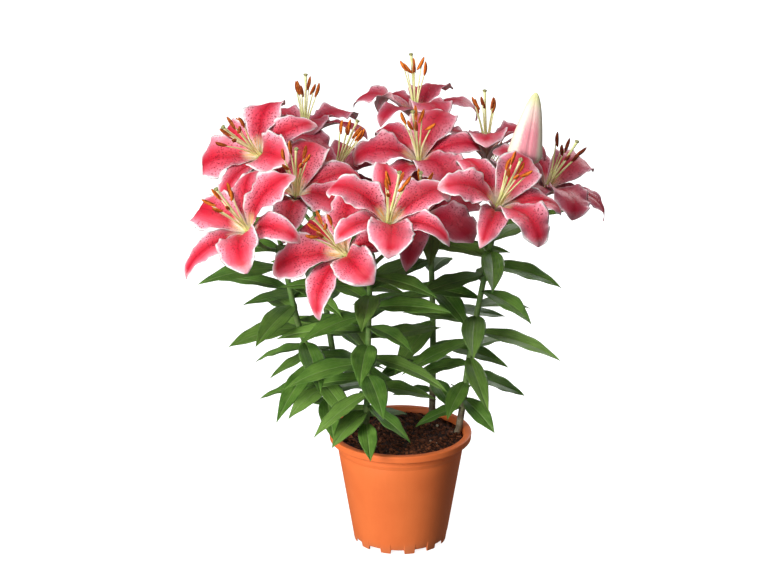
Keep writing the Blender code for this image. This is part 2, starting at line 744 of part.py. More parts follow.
def make_pot(collection, cutters, material):
    pot = profile_object("pot", pot_profile(), POT_STEPS, collection, material)
    pitch = 360.0 / FOOT_COUNT
    for number in range(FOOT_COUNT):
        angle = math.radians(-90.0 + FOOT_ANGLE + pitch * (number + 0.5))
        width = 2.0 * BASE_RADIUS * math.sin(math.radians(NOTCH_ANGLE / 2))
        bm = bmesh.new()
        bmesh.ops.create_cube(bm, size=1.0)
        bmesh.ops.scale(bm, vec=(0.012, width, 2 * NOTCH_HEIGHT), verts=bm.verts)
        notch = make_cutter(object_from("notch", bm, cutters))
        notch.location = (BASE_RADIUS * math.cos(angle), BASE_RADIUS * math.sin(angle), 0.0)
        notch.rotation_euler = (0.0, 0.0, angle)
    for number in range(DRAIN_COUNT):
        angle = math.radians(360.0 * number / DRAIN_COUNT + 15.0)
        bm = bmesh.new()
        bmesh.ops.create_cone(bm, cap_ends=True, segments=8, radius1=DRAIN_RADIUS, radius2=DRAIN_RADIUS,
                              depth=4 * FLOOR_THICKNESS)
        drain = make_cutter(object_from("drain", bm, cutters))
        drain.location = (DRAIN_RING * math.cos(angle), DRAIN_RING * math.sin(angle),
                          FLOOR_LEVEL - FLOOR_THICKNESS / 2)
    cut_with(pot, cutters)
    return pot


def bulb_profile(grow):
    return (
        (0.0, BULB_UP + grow),
        (BULB_PLATE + grow, BULB_UP + grow),
        (BULB_RADIUS * 0.78 + grow, BULB_UP * 0.52),
        (BULB_RADIUS + grow, -BULB_DOWN * 0.15),
        (BULB_RADIUS * 0.55 + grow, -BULB_DOWN - grow),
        (0.0, -BULB_DOWN - grow),
    )


def make_soil(collection, cutters, material, bulb_material):
    """The soil that fills the pot, with a cavity for each bulb and a plain hole for its stem."""
    low = FLOOR_LEVEL + GAP
    profile = pot_profile()
    foot_radius, foot_level = profile[1]
    side_radius, side_level = profile[2]
    slope = (side_radius - foot_radius) / (side_level - foot_level)
    bottom = foot_radius + slope * (low - foot_level) - 2 * GAP
    top = foot_radius + slope * (SOIL_LEVEL - foot_level) - 2 * GAP
    bm = bmesh.new()
    bmesh.ops.create_cone(bm, cap_ends=True, segments=POT_STEPS, radius1=bottom, radius2=top,
                          depth=SOIL_LEVEL - low, matrix=Matrix.Translation((0, 0, (SOIL_LEVEL + low) / 2)))
    cap = max(bm.faces, key=lambda face: face.calc_center_median().z)
    for ring in range(SOIL_RINGS):
        thick = top * 0.03 if ring == 0 else top * 0.45
        bmesh.ops.inset_region(bm, faces=[cap], thickness=thick, use_even_offset=True)
    bmesh.ops.poke(bm, faces=[cap])
    rng = random.Random(5)
    for vert in bm.verts:
        radius = vert.co.xy.length
        if vert.co.z > SOIL_LEVEL - 0.001 and radius < top * 0.99:
            swell = math.sin(vert.co.x * 95 + 0.7) * math.cos(vert.co.y * 80 - 0.4)
            vert.co.z += SOIL_BUMP * (0.6 * swell + rng.uniform(-0.45, 0.45))
    bmesh.ops.triangulate(bm, faces=bm.faces)
    soil = object_from("soil", bm, collection, material)
    for name, (centre, foot, climb) in STEMS.items():
        axis = (Vector(foot) - Vector(centre)).normalized()
        turn = axis.to_track_quat("Z", "Y")
        bulb = profile_object("bulb_" + name, bulb_profile(0.0), BULB_STEPS, collection, bulb_material)
        cavity = profile_object("cavity_" + name, bulb_profile(GAP * 1.4), BULB_STEPS, cutters)
        bm = bmesh.new()
        bmesh.ops.create_cone(bm, cap_ends=True, segments=8, radius1=STEM_FOOT_RADIUS + HOLE_CLEARANCE,
                              radius2=STEM_FOOT_RADIUS + HOLE_CLEARANCE, depth=HOLE_LENGTH,
                              matrix=Matrix.Translation((0, 0, BULB_UP * 0.8 + HOLE_LENGTH / 2)))
        hole = object_from("hole_" + name, bm, cutters)
        for placed in (bulb, cavity, hole):
            placed.rotation_mode = "QUATERNION"
            placed.location = centre
            placed.rotation_quaternion = turn
        make_cutter(cavity)
        make_cutter(hole)
    cut_with(soil, cutters)
    return soil


def make_bud(collection, material):
    """The closed bud: a tapering body with three ribs, flat at its foot."""
    length = (BUD_TIP - BUD_ROOT).length
    bm = bmesh.new()
    bmesh.ops.create_uvsphere(bm, u_segments=12, v_segments=9, radius=1.0)
    for vert in bm.verts:
        t = 0.5 * (vert.co.z + 1.0)
        angle = math.atan2(vert.co.y, vert.co.x)
        swell = math.sqrt(1.0 - max(0.0, 1.0 - t / BUD_WIDEST) ** 2)
        girth = (BUD_FOOT + (1.0 - BUD_FOOT) * swell) * (1.0 - t) ** BUD_TAPER * BUD_FULLNESS
        radius = BUD_RADIUS * girth * (1.0 + BUD_RIBS * math.cos(3.0 * angle))
        flat = vert.co.xy.length
        if t < 0.001:
            vert.co = (0.0, 0.0, 0.0)
        elif t > 0.999:
            vert.co = (0.0, 0.0, length)
        else:
            height = max(0.0, t - BUD_SEAT) / (1.0 - BUD_SEAT) * length
            vert.co = (vert.co.x / flat * radius, vert.co.y / flat * radius, height)
    bmesh.ops.triangulate(bm, faces=bm.faces)
    bud = object_from("bud", bm, collection, material)
    bud.location = BUD_ROOT
    bud.rotation_mode = "QUATERNION"
    bud.rotation_quaternion = (BUD_TIP - BUD_ROOT).to_track_quat("Z", "Y")
    return bud


def main():
    for old in list(bpy.data.objects):
        bpy.data.objects.remove(old)
    parts = make_collection("potted_lily")
    pot_cutters = make_collection("pot_cutters")
    soil_cutters = make_collection("soil_cutters")
    terracotta = make_material("terracotta_plastic", (0.78, 0.20, 0.06), 0.45)
    earth = make_material("soil", (0.055, 0.022, 0.012), 0.95)
    scale_leaf = make_material("bulb", (0.72, 0.60, 0.36), 0.60)
    green = make_material("leaf", (0.050, 0.160, 0.025), 0.45)
    pink = make_material("tepal", (0.75, 0.06, 0.14), 0.50)
    rust = make_material("anther", (0.62, 0.16, 0.03), 0.70)
    pale = make_material("bud", (0.85, 0.62, 0.55), 0.50)

    pot = make_pot(parts, pot_cutters, terracotta)
    soil = make_soil(parts, soil_cutters, earth, scale_leaf)
    bud = make_bud(parts, pale)
    crowd = Crowd()
    bpy.context.view_layer.update()
    for made in (pot, soil, bud):
        add_object(crowd, made, made.name, made.matrix_world)

    frames = {}
    for number, (name, root, azimuth, elevation, roll, stem, down) in enumerate(BLOOMS):
        frames[name] = bloom_frame(Vector(root), azimuth, elevation, roll)
        rng = random.Random(100 + number)
        stamens = make_stamens("bloom_" + name + "_stamens", rng, frames[name], parts, rust)
        add_object(crowd, stamens, "stamens_" + name, frames[name])
        cup = receptacle(0.5)
        cup.transform(frames[name])
        crowd.add(cup, "cup_" + name)
        cup.free()

    stems = {}
    for name in STEMS:
        blooms = []
        for bloom, root, azimuth, elevation, roll, stem, down in BLOOMS:
            if stem == name:
                blooms.append((Vector(root), frames[bloom].to_3x3().col[2].normalized(), down))
        if BUD_STEM[0] == name:
            blooms.append((BUD_ROOT, (BUD_TIP - BUD_ROOT).normalized(), BUD_STEM[1]))
        stems[name] = make_stem(name, blooms, parts, green)
        made, path, stalks = stems[name]
        add_object(crowd, made, "stem_" + name)
        for stalk in stalks:
            add_object(crowd, stalk, "stalks_" + name)

    for number, (name, root, azimuth, elevation, roll, stem, down) in enumerate(BLOOMS):
        looks = tepal_looks(name, random.Random(200 + number))
        make_tepals("bloom_" + name + "_tepals", looks, frames[name], crowd, parts, pink)

    for number, name in enumerate(STEMS):
        made, path, stalks = stems[name]
        add_leaves(name, made, path, random.Random(300 + number), crowd, stalks, parts)

    plant = bpy.data.objects.new("plant", None)
    parts.objects.link(plant)
    for made in parts.objects:
        if made.type == "MESH" and made.name.startswith(("bloom_", "stem_", "bud")):
            made.parent = plant


main()
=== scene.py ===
"""Looks for the potted oriental lily: pot, soil, bulbs, five leafy stems, fifteen blooms and a bud.

Metres, +Z up, -Y the front. The origin is on the pot's axis at the level of the floor. Every tepal and
leaf is drawn again on the midline of its solid, with the bend that its solid has.
"""
from functools import partial
from math import atan2, copysign, cos, degrees, exp, pi, radians, sin, sqrt
from random import Random

import bmesh
import bpy
from mathutils import Matrix, Vector, noise
from mathutils.kdtree import KDTree


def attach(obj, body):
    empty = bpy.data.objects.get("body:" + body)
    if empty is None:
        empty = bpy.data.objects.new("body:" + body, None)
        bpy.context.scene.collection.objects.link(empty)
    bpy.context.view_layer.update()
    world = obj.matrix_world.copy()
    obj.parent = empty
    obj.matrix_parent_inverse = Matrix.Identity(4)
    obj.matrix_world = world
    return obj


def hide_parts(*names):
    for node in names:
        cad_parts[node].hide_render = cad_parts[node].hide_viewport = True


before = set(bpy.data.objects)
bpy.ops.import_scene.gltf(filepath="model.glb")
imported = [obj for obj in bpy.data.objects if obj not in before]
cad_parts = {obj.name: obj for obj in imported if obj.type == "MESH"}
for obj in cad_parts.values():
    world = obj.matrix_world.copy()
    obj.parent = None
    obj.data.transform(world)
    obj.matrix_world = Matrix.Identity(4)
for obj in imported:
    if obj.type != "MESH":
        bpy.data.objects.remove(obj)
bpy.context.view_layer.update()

# Pot and soil
POT_HEIGHT = 0.153
RIM_RADIUS = 0.095
LIP_HEIGHT = 0.0098
LIP_ROUND = 0.0018
LIP_WIDTH = 0.0104
WALL = 0.0019
BAND_HEIGHT = 0.010
BAND_STEP = 0.0006
BASE_RADIUS = 0.0618
FLOOR_LEVEL = 0.0095
FLOOR_THICKNESS = 0.0022
FOOT_COUNT = 12
FOOT_STEPS = 12
FOOT_ANGLE = -18.6
NOTCH_HEIGHT = 0.0055
NOTCH_ANGLE = 16.0
SOIL_LEVEL = 0.1455
SOIL_BUMP = 0.0022
SOIL_RINGS = 40
SOIL_STEPS = 96
SOIL_SINK = 0.0006
CRUMBS = 2600
CRUMB_CLEAR = 0.0062
WALL_TOP = RIM_RADIUS - LIP_WIDTH
BAND_LOW = POT_HEIGHT - LIP_HEIGHT - BAND_HEIGHT
WALL_SLOPE = (WALL_TOP - BAND_STEP - BASE_RADIUS) / BAND_LOW

# Stems: bulb centre, the point where it leaves the soil, then the points that it climbs through
GAP = 0.0003
BULB_UP = 0.0170
STEM_FOOT_RADIUS = 0.0046
STEM_TOP_RADIUS = 0.0036
PEDICEL_RADIUS = 0.0029
STALK_NECK = 0.006
STEM_STRAIGHT = 0.006
STEMS = {
    "left": ((-0.047, -0.006, 0.066), (-0.076, -0.006, SOIL_LEVEL), (
        (-0.092, -0.006, 0.185), (-0.114, -0.012, 0.250), (-0.136, -0.022, 0.320), (-0.156, -0.036, 0.428))),
    "rear_left": ((-0.033, 0.032, 0.066), (-0.067, 0.030, SOIL_LEVEL), (
        (-0.080, 0.034, 0.190), (-0.092, 0.042, 0.260), (-0.102, 0.052, 0.335), (-0.114, 0.066, 0.440))),
    "centre": ((-0.022, -0.041, 0.066), (-0.042, -0.059, SOIL_LEVEL), (
        (-0.045, -0.068, 0.190), (-0.043, -0.074, 0.250), (-0.042, -0.080, 0.315), (-0.039, -0.088, 0.420))),
    "rear_right": ((0.026, 0.038, 0.066), (0.042, 0.061, SOIL_LEVEL), (
        (0.044, 0.070, 0.200), (0.044, 0.078, 0.270), (0.042, 0.086, 0.345), (0.038, 0.094, 0.448))),
    "right": ((0.047, -0.002, 0.066), (0.076, 0.010, SOIL_LEVEL), (
        (0.084, 0.014, 0.190), (0.092, 0.016, 0.255), (0.104, 0.016, 0.330), (0.124, 0.012, 0.440))),
}

# Blooms: name, root, azimuth (0 faces the front, plus turns towards +X), elevation, roll, stem, how far
# below the stem's top the flower stalk leaves it, and how much painted shade darkens its colour
BLOOMS = (
    ("front", (-0.018, -0.152, 0.480), 18, 66, 9, "centre", 0.000, 0.00),
    ("front_low", (-0.065, -0.146, 0.442), -40, 44, 18, "centre", 0.045, 0.05),
    ("left_low", (-0.186, -0.134, 0.467), -44, 50, 345, "left", 0.040, 0.05),
    ("right_front", (0.117, -0.105, 0.489), 35, 58, 46, "right", 0.045, 0.10),
    ("left_front", (-0.134, -0.046, 0.486), 4, 62, 170, "left", 0.010, 0.05),
    ("left_high", (-0.176, 0.020, 0.522), -42, 40, 20, "left", 0.000, 0.10),
    ("centre", (0.024, 0.028, 0.509), -8, 66, 35, "rear_right", 0.030, 0.35),
    ("inner", (0.024, -0.036, 0.452), 5, 60, 48, "centre", 0.020, 0.60),
    ("right_high", (0.114, 0.092, 0.497), -174, 81, 0, "right", 0.000, 0.55),
    ("far_right", (0.184, 0.026, 0.470), 60, 62, 30, "right", 0.025, 0.55),
    ("mid_left", (-0.092, 0.034, 0.486), 74, 67, 0, "rear_left", 0.030, 0.65),
    ("far_left", (-0.178, 0.102, 0.482), -156, 40, 30, "rear_left", 0.040, 0.60),
    ("top_left", (-0.129, 0.148, 0.505), 166, 86, 10, "rear_left", 0.000, 0.70),
    ("top_centre", (0.021, 0.150, 0.533), -135, 86, 30, "rear_right", 0.000, 0.60),
    ("back", (0.098, 0.156, 0.424), 140, 42, 0, "rear_right", 0.040, 0.35),
)
# How dark the pollen of the blooms is that are further open than the rest
DARK_POLLEN = {
    "far_right": 0.95, "left_high": 0.50, "top_left": 0.45, "right_high": 0.35, "left_front": 0.20}
# How much further than the rest single tepals of a bloom bend back, by their number round it
TEPAL_BENDS = {
    "front": {1: -20, 2: -8, 3: -24, 4: -10, 5: -22},
    "left_high": {1: 24, 2: 44, 3: 24, 4: 8},
}
BUD_ROOT = Vector((0.156, -0.022, 0.534))
BUD_TIP = Vector((0.172, -0.020, 0.624))
BUD_WAY = BUD_TIP - BUD_ROOT
BUD_RADIUS = 0.0225
BUD_WIDEST = 0.18
BUD_FOOT = 0.17
BUD_FULLNESS = 1.08
BUD_TAPER = 0.55
BUD_RIBS = 0.07
BUD_SEAMS = 0.055
BUD_SEAT = 0.03
BUD_STEM = ("right", 0.010)

# Tepals, the inner kind and the outer. root is how far out and up one starts, outline is its shape along
# its length, wrap is how closely it goes round the throat, and corners are levels where its solid has some
CUP_HEIGHT = 0.0090
CUP_STEPS = 18
DISC_HEIGHT = 0.0022
TEPAL_THICKNESS = 0.0015
CLAW_THICKNESS = 0.0024
CLAW_HALF_WIDTH = 0.0026
CURL_ANGLE = 26.0
TEPAL_KINDS = (
    {
        "length": 0.108, "width": 0.056, "wave": 0.0058, "waves": 2.2, "ripple": 0.0017, "start": 24.0,
        "spread": 90.0, "root": (0.0012, 0.0042), "outline": (1.50, 0.92), "wrap": 0.94,
        "corners": (0.44, 0.60), "broad": 1.0},
    {
        "length": 0.112, "width": 0.038, "wave": 0.0034, "waves": 1.7, "ripple": 0.0010, "start": 28.0,
        "spread": 102.0, "root": (0.0016, 0.0012), "outline": (1.05, 0.95), "wrap": 1.06,
        "corners": (0.52, 0.70), "broad": 0.0},
)
# How a solid's tepal may be bent, turned and shortened to be clear of the others
TEPAL_WAYS = [(bend, turn, shorten) for shorten in (1.0, 0.93, 0.86) for turn in (0, 7, -7, 13, -13)
              for bend in (0, 9, -9, 18, -18, 28, -28, 40, -38, 54, -48)]
MIDLINE_STEPS = 48
TEPAL_GRID = (18, 46)

# Stamens and pistil
FILAMENT_LENGTH = 0.070
FILAMENT_RING = 0.0023
FILAMENT_LEAN = 11.0
ANTHER_LENGTH = 0.021
ANTHER_RADIUS = 0.0026
STYLE_LENGTH = 0.087
STIGMA_RADIUS = 0.0038
STIGMA_HEIGHT = 0.0042

# Leaves
LEAF_LENGTHS = (0.104, 0.130)
LEAF_WIDTHS = (0.028, 0.036)
LEAF_CORNERS = (0.68, 0.36)
LEAF_THICKNESS = 0.0018
LEAF_ROOT_BACK = 0.0004
LEAF_OUTLINE = (0.74, 1.12)
LEAF_KEEL = 0.30
LEAF_LOWEST = 0.036
LEAF_LEAST_SIZE = 0.56
LEAF_FULL_SIZE_SHARE = 0.36
LEAF_SLOPES = (-14.0, 12.0)
LEAF_DROOPS = (24.0, 14.0)
LEAF_COUNTS = {"left": 24, "rear_left": 18, "centre": 28, "rear_right": 17, "right": 23}
GOLDEN_ANGLE = 137.5
LEAF_TURN_TO_FRONT = 28.0
LEAF_GRID = (12, 30)
LEAF_WAYS = [(bend, turn) for turn in (0, 12, -12, 24, -24, 38, -38, 55, -55)
             for bend in (0, 10, -10, 20, -20, 32, -32, 46, -46)]
# A solid's corner this near is the one that is looked for
SAME_PLACE = 0.0004

# Where the random draws start
STAMEN_SEED = 100
TEPAL_SEED = 200
LEAF_SEED = 300
TEPAL_TINT_SEED = 700
LEAF_TINT_SEED = 800
CRUMB_SEED = 41

# Camera and studio. Lamps: name, place, height of the aim on the axis, size, power and colour
CAMERA_PLACE = (-0.0192, -3.5, 1.5521)
CAMERA_DIP = 0.3304
LENS = 131.55
LAMPS = (
    ("front_left_lamp", (-2.1, -2.5, 1.6), 0.32, 1.4, 96.0, (1.0, 0.99, 0.97)),
    ("low_lamp", (-1.8, -2.3, 0.35), 0.40, 1.6, 48.0, (1.0, 1.0, 1.0)),
    ("top_lamp", (-0.2, -0.6, 2.6), 0.40, 1.6, 34.0, (1.0, 1.0, 1.0)),
    ("back_lamp", (1.5, 2.7, 1.7), 0.35, 1.6, 46.0, (1.0, 1.0, 1.0)),
)
SKY_STRENGTH = 0.16
FLOOR_SIZE = 6.0
FLOOR_GLOW = 0.88


class Value:
    """A number in a finish. A sum or product of it adds a Math node."""

    def __init__(self, finish, socket):
        self.finish = finish
        self.socket = socket

    def worked(self, operation, *values):
        return self.finish.node("ShaderNodeMath", {"operation": operation}, dict(enumerate(values)))

    def __add__(self, other):
        return self.worked("ADD", self, other)

    def __sub__(self, other):
        return self.worked("SUBTRACT", self, other)

    def __rsub__(self, other):
        return self.worked("SUBTRACT", other, self)

    def __mul__(self, other):
        return self.worked("MULTIPLY", self, other)

    def __abs__(self):
        return self.worked("ABSOLUTE", self)

    __radd__ = __add__
    __rmul__ = __mul__

    def sine(self):
        return self.worked("SINE", self)

    def rise(self, low, high):
        """0 at low and 1 at high, with a smooth change between them."""
        return self.finish.node("ShaderNodeMapRange", {"interpolation_type": "SMOOTHSTEP"},
                                {"Value": self, "From Min": low, "From Max": high})


class Finish:
    """A procedural material, built up from values. soft is its subsurface weight, radius and scale."""

    def __init__(self, name, constants, soft=()):
        self.material = bpy.data.materials.new(name)
        self.material.use_nodes = True
        self.tree = self.material.node_tree
        self.shader = self.tree.nodes["Principled BSDF"]
        for socket, value in constants.items():
            self.feed(self.shader.inputs[socket], value)
        for socket, value in zip(("Weight", "Radius", "Scale"), soft):
            self.feed(self.shader.inputs["Subsurface " + socket], value)

    def feed(self, socket, value):
        if isinstance(value, Value):
            self.tree.links.new(value.socket, socket)
        elif isinstance(value, tuple) and socket.type == "RGBA":
            socket.default_value = (*value, 1.0)
        else:
            socket.default_value = value

    def node(self, kind, settings, inputs, output=0):
        made = self.tree.nodes.new(kind)
        for name, value in settings.items():
            setattr(made, name, value)
        for name, value in inputs.items():
            self.feed(made.inputs[name], value)
        return Value(self, made.outputs[output])

    def marks(self, name):
        """The three numbers that a piece carries at each of its points."""
        return self.apart(self.node("ShaderNodeAttribute", {"attribute_name": name}, {}, "Vector"))

    def apart(self, vector):
        return [self.node("ShaderNodeSeparateXYZ", {}, {0: vector}, axis) for axis in "XYZ"]

    def together(self, x, y, z):
        return self.node("ShaderNodeCombineXYZ", {}, {0: x, 1: y, 2: z})

    def place(self):
        return self.node("ShaderNodeTexCoord", {}, {}, "Object")

    def stretched(self, vector, scale):
        return self.node("ShaderNodeVectorMath", {"operation": "MULTIPLY"}, {0: vector, 1: scale})

    def noise(self, vector, scale, detail=3.0, roughness=0.55, drawn=None):
        """Noise, drawn out along Z where drawn is under 1 and flattened where it is over 1."""
        if drawn:
            vector = self.stretched(vector, (1.0, 1.0, drawn))
        return self.node("ShaderNodeTexNoise", {}, {
            "Vector": vector, "Scale": scale, "Detail": detail, "Roughness": roughness})

    def cells(self, vector, scale, flat=False):
        """How far a point is from the middle of its cell."""
        settings = {"voronoi_dimensions": "2D"} if flat else {}
        return self.node("ShaderNodeTexVoronoi", settings, {"Vector": vector, "Scale": scale}, "Distance")

    def mix(self, share, one, two, *coats):
        """Colour one where the share is 0 and two where it is 1, then each coat by its own share."""
        colour = self.node("ShaderNodeMix", {"data_type": "RGBA"}, {0: share, 6: one, 7: two}, 2)
        for share, coat in coats:
            colour = self.mix(share, colour, coat)
        return colour

    def paint(self, colour, roughness, height=None, depth=0.0):
        """Gives the finish its colour and roughness, and a relief of that height and depth."""
        self.feed(self.shader.inputs["Base Color"], colour)
        self.feed(self.shader.inputs["Roughness"], roughness)
        if height:
            bump = self.node("ShaderNodeBump", {}, {"Height": height, "Distance": depth})
            self.feed(self.shader.inputs["Normal"], bump)
        return self


def tepal_finish():
    """Crimson, with pink sides, a soft white edge, dark spots and a yellow-green throat.
    Painted shade darkens the blooms further back.
    """
    made = Finish("lily_tepal", {"Specular IOR Level": 0.32}, (0.1, (1.0, 0.22, 0.22), 0.0015))
    across, way, side = made.marks("blade")
    wide, long, number = made.marks("grain")
    # The bloom's painted shade, for the blooms further back, and whether the tepal is of the broad kind
    painted_shade, broad, _ = made.marks("bloom")
    cloth = made.together(wide + number * 0.37, long + number * 0.11, number)
    streaks = made.noise(made.stretched(cloth, (1.0, 0.07, 1.0)), 560.0, 4.0, 0.6)
    clouds = made.noise(cloth, 62.0, 2.0, 0.5)
    frays = made.noise(cloth, 300.0, 3.0, 0.6)
    middle = abs(across)
    edge = middle + (clouds - 0.5) * 0.42 + (streaks - 0.5) * 0.18
    tip = way.rise(0.6, 1.0)

    groove = abs(wide).rise(0.0015, 0.0004) * way.rise(0.1, 0.25) * (1.0 - tip)
    # Spots stand on the lower three quarters and thin out towards the edge
    spots = (made.cells(cloth, 270.0, flat=True) + (frays - 0.5) * 0.1).rise(0.25, 0.14)
    spots = spots * clouds.rise(0.36, 0.5)
    spots = spots * way.rise(0.84, 0.6) * way.rise(0.1, 0.2) * middle.rise(0.97, 0.84)
    margin = (middle + (frays - 0.5) * 0.18 + (clouds - 0.5) * 0.22 + tip * 0.14).rise(0.83, 1.02)
    margin = margin * way.rise(0.12, 0.28)
    end = (way + (frays - 0.5) * 0.08 + middle * 0.05).rise(0.86, 0.99)
    pale = (way + (streaks - 0.5) * 0.16 + middle * 0.06).rise(0.34, 0.14)
    flame = streaks.rise(0.44, 0.58) * way.rise(0.3, 0.2) * way.rise(0.05, 0.12) * middle.rise(0.6, 0.3)
    star = (way + middle * 0.1).rise(0.13, 0.05)
    body = made.mix(
        edge.rise(0.06, 0.44), (0.55, 0.009, 0.03), (0.66, 0.062, 0.105),
        (edge.rise(0.38, 0.92), (0.77, 0.28, 0.36)),
        (streaks.rise(0.48, 0.7) * edge.rise(1.0, 0.45) * 0.45, (0.46, 0.005, 0.018)),
        (streaks.rise(0.46, 0.26) * edge.rise(0.25, 0.7) * 0.35, (0.86, 0.42, 0.48)),
        (groove * 0.5, (0.36, 0.004, 0.016)), (spots * 0.8, (0.27, 0.003, 0.014)),
        (end * 0.75, (0.86, 0.52, 0.58)), (margin, (0.88, 0.82, 0.8)), (pale, (0.93, 0.87, 0.7)),
        (flame * broad * 0.75, (0.95, 0.48, 0.1)), (star, (0.56, 0.68, 0.2)))

    rib = abs(wide).rise(0.0034, 0.001) * way.rise(1.0, 0.5)
    # The underside, with some painted shade on the blooms further back
    back = made.mix(
        edge.rise(0.1, 0.75), (0.8, 0.3, 0.38), (0.88, 0.68, 0.7),
        ((streaks - 0.45).rise(0.0, 0.3) * 0.5, (0.88, 0.74, 0.72)), (rib * 0.6, (0.58, 0.6, 0.32)),
        (painted_shade * 0.35, (0.62, 0.12, 0.22)))
    # A painted-shade copy of the tepal colour, that the blooms further back are mixed towards
    dark = made.mix(margin * 0.7 + edge.rise(0.5, 1.1) * 0.15, (0.24, 0.003, 0.022), (0.62, 0.2, 0.3))
    own = made.noise(made.together(number, number * 0.7, 0.0), 3.7, 0.0).rise(0.3, 0.6)
    body = made.mix(painted_shade * (0.6 + clouds * 0.3 + own * 0.3), body, dark)
    colour = made.mix(side.rise(-0.2, 0.2), back, body)

    height = streaks * 0.5 + spots * 1.6 + clouds * 0.4
    return made.paint(colour, 0.42 + streaks * 0.18 - spots * 0.1, height, 0.0006)


def leaf_finish():
    """Glossy green with a pale midrib and long veins, and a paler dull back."""
    made = Finish("lily_leaf", {"Specular IOR Level": 0.22}, (0.05, (0.4, 1.0, 0.2), 0.001))
    across, way, side = made.marks("blade")
    wide, long, number = made.marks("grain")
    cloth = made.together(wide + number * 0.29, long + number * 0.17, number)
    streaks = made.noise(made.stretched(cloth, (1.0, 0.06, 1.0)), 800.0, 3.0, 0.6)
    clouds = made.noise(cloth, 45.0, 3.0, 0.55)
    own = made.noise(made.together(number, number * 0.7, 0.0), 3.1, 0.0)
    veins = abs((across * (pi * 3.5)).sine()).rise(0.22, 0.02)
    rib = abs(wide).rise(0.0012, 0.0003) * way.rise(1.0, 0.8)

    rim = abs(across).rise(0.93, 1.0)
    top = made.mix(
        clouds.rise(0.3, 0.72), (0.088, 0.212, 0.028), (0.172, 0.335, 0.054),
        (own.rise(0.42, 0.62) * 0.45, (0.215, 0.345, 0.072)),
        (own.rise(0.46, 0.3) * 0.5, (0.05, 0.125, 0.02)),
        (streaks.rise(0.42, 0.72) * 0.45, (0.04, 0.105, 0.018)),
        (veins * 0.3, (0.2, 0.34, 0.1)), (rib * 0.38, (0.28, 0.4, 0.14)), (rim * 0.5, (0.22, 0.34, 0.1)))
    under = made.mix(
        clouds.rise(0.3, 0.7), (0.092, 0.195, 0.048), (0.15, 0.265, 0.078),
        (veins * 0.5 + rib * 0.5, (0.22, 0.34, 0.13)))
    colour = made.mix(side.rise(-0.2, 0.2), under, top)
    rough = 0.4 + clouds * 0.12 + side.rise(0.2, -0.2) * 0.2
    height = streaks * 0.35 - veins * 0.7 - rib * 0.8 + clouds * 0.5
    return made.paint(colour, rough, height, 0.0004)


def cane_finish():
    """Pale green stem, brown-grey and scarred at the foot."""
    made = Finish("lily_cane", {"Specular IOR Level": 0.4})
    place = made.place()
    z = made.apart(place)[2]
    streaks = made.noise(place, 900.0, drawn=0.1)
    blotches = made.noise(place, 120.0)
    green = made.mix(blotches.rise(0.35, 0.7), (0.115, 0.235, 0.05), (0.225, 0.33, 0.1))
    brown = made.mix(blotches.rise(0.35, 0.65), (0.115, 0.08, 0.045), (0.26, 0.215, 0.14))
    colour = made.mix(
        (z + (blotches - 0.5) * 0.05).rise(0.165, 0.215), brown, green,
        (streaks.rise(0.5, 0.8) * 0.4, (0.3, 0.34, 0.16)))
    rings = made.noise(place, 60.0, 2.0, drawn=6.0)
    height = streaks + rings * 0.8
    return made.paint(colour, 0.45 + blotches * 0.2, height, 0.0005)


def anther_finish():
    """Rust-orange pollen on a darker skin, maroon on the blooms that are furthest open."""
    made = Finish("lily_anther", {"Specular IOR Level": 0.15})
    place = made.place()
    dark, back, _ = made.marks("bloom")
    grains = made.cells(place, 2600.0)
    patches = made.noise(place, 260.0)
    skin = made.mix(patches.rise(0.3, 0.7), (0.1, 0.012, 0.01), (0.26, 0.05, 0.018))
    furrow = (back + (patches - 0.5) * 0.2).rise(0.22, 0.06)
    furrow = furrow + (back + (patches - 0.5) * 0.3).rise(0.55, 0.8)
    colour = made.mix(
        patches.rise(0.35, 0.65), (0.6, 0.13, 0.012), (0.82, 0.24, 0.03),
        (furrow * 0.75, skin), (dark, skin))
    return made.paint(colour, 0.85 + patches * 0.1, grains, 0.0003)


def filament_finish():
    """Pale green-yellow stalks."""
    made = Finish("lily_filament", {"Specular IOR Level": 0.4}, (0.1, (0.7, 0.8, 0.3), 0.001))
    place = made.place()
    patches = made.noise(place, 90.0, 2.0)
    streaks = made.noise(place, 1500.0, 2.0, drawn=0.1)
    colour = made.mix(patches.rise(0.3, 0.7), (0.7, 0.78, 0.3), (0.86, 0.86, 0.52))
    return made.paint(colour, 0.42 + streaks * 0.1, streaks, 0.0001)


def stigma_finish():
    """Green, three-lobed and damp."""
    made = Finish("lily_stigma", {"Coat Weight": 0.3, "Coat Roughness": 0.2})
    place = made.place()
    grains = made.cells(place, 1700.0)
    patches = made.noise(place, 300.0, 2.0)
    colour = made.mix(patches.rise(0.3, 0.7), (0.16, 0.2, 0.05), (0.34, 0.3, 0.11))
    return made.paint(colour, 0.35 + patches * 0.2, grains, 0.0003)


def pot_finish():
    """Moulded terracotta-coloured plastic with a satin skin and faint flow marks."""
    made = Finish("terracotta_moulded", {"Specular IOR Level": 0.28})
    place = made.place()
    z = made.apart(place)[2]
    clouds = made.noise(place, 16.0)
    flow = made.noise(place, 90.0, drawn=0.12)
    skin = made.noise(place, 2400.0, 2.0)
    specks = made.cells(place, 240.0).rise(0.12, 0.05) * made.noise(place, 60.0).rise(0.55, 0.65)
    dust = (z * -1.0 + (clouds - 0.5) * 0.02).rise(-0.018, 0.0)
    colour = made.mix(
        clouds.rise(0.3, 0.7), (0.84, 0.18, 0.044), (0.89, 0.205, 0.052),
        (flow.rise(0.35, 0.75) * 0.25, (0.8, 0.165, 0.038)), (specks * 0.35, (0.45, 0.13, 0.05)),
        (dust * 0.25, (0.55, 0.26, 0.15)))
    height = skin * 0.25 + flow * 0.35
    return made.paint(colour, 0.46 + flow * 0.1 + dust * 0.15 + specks * 0.1, height, 0.0002)


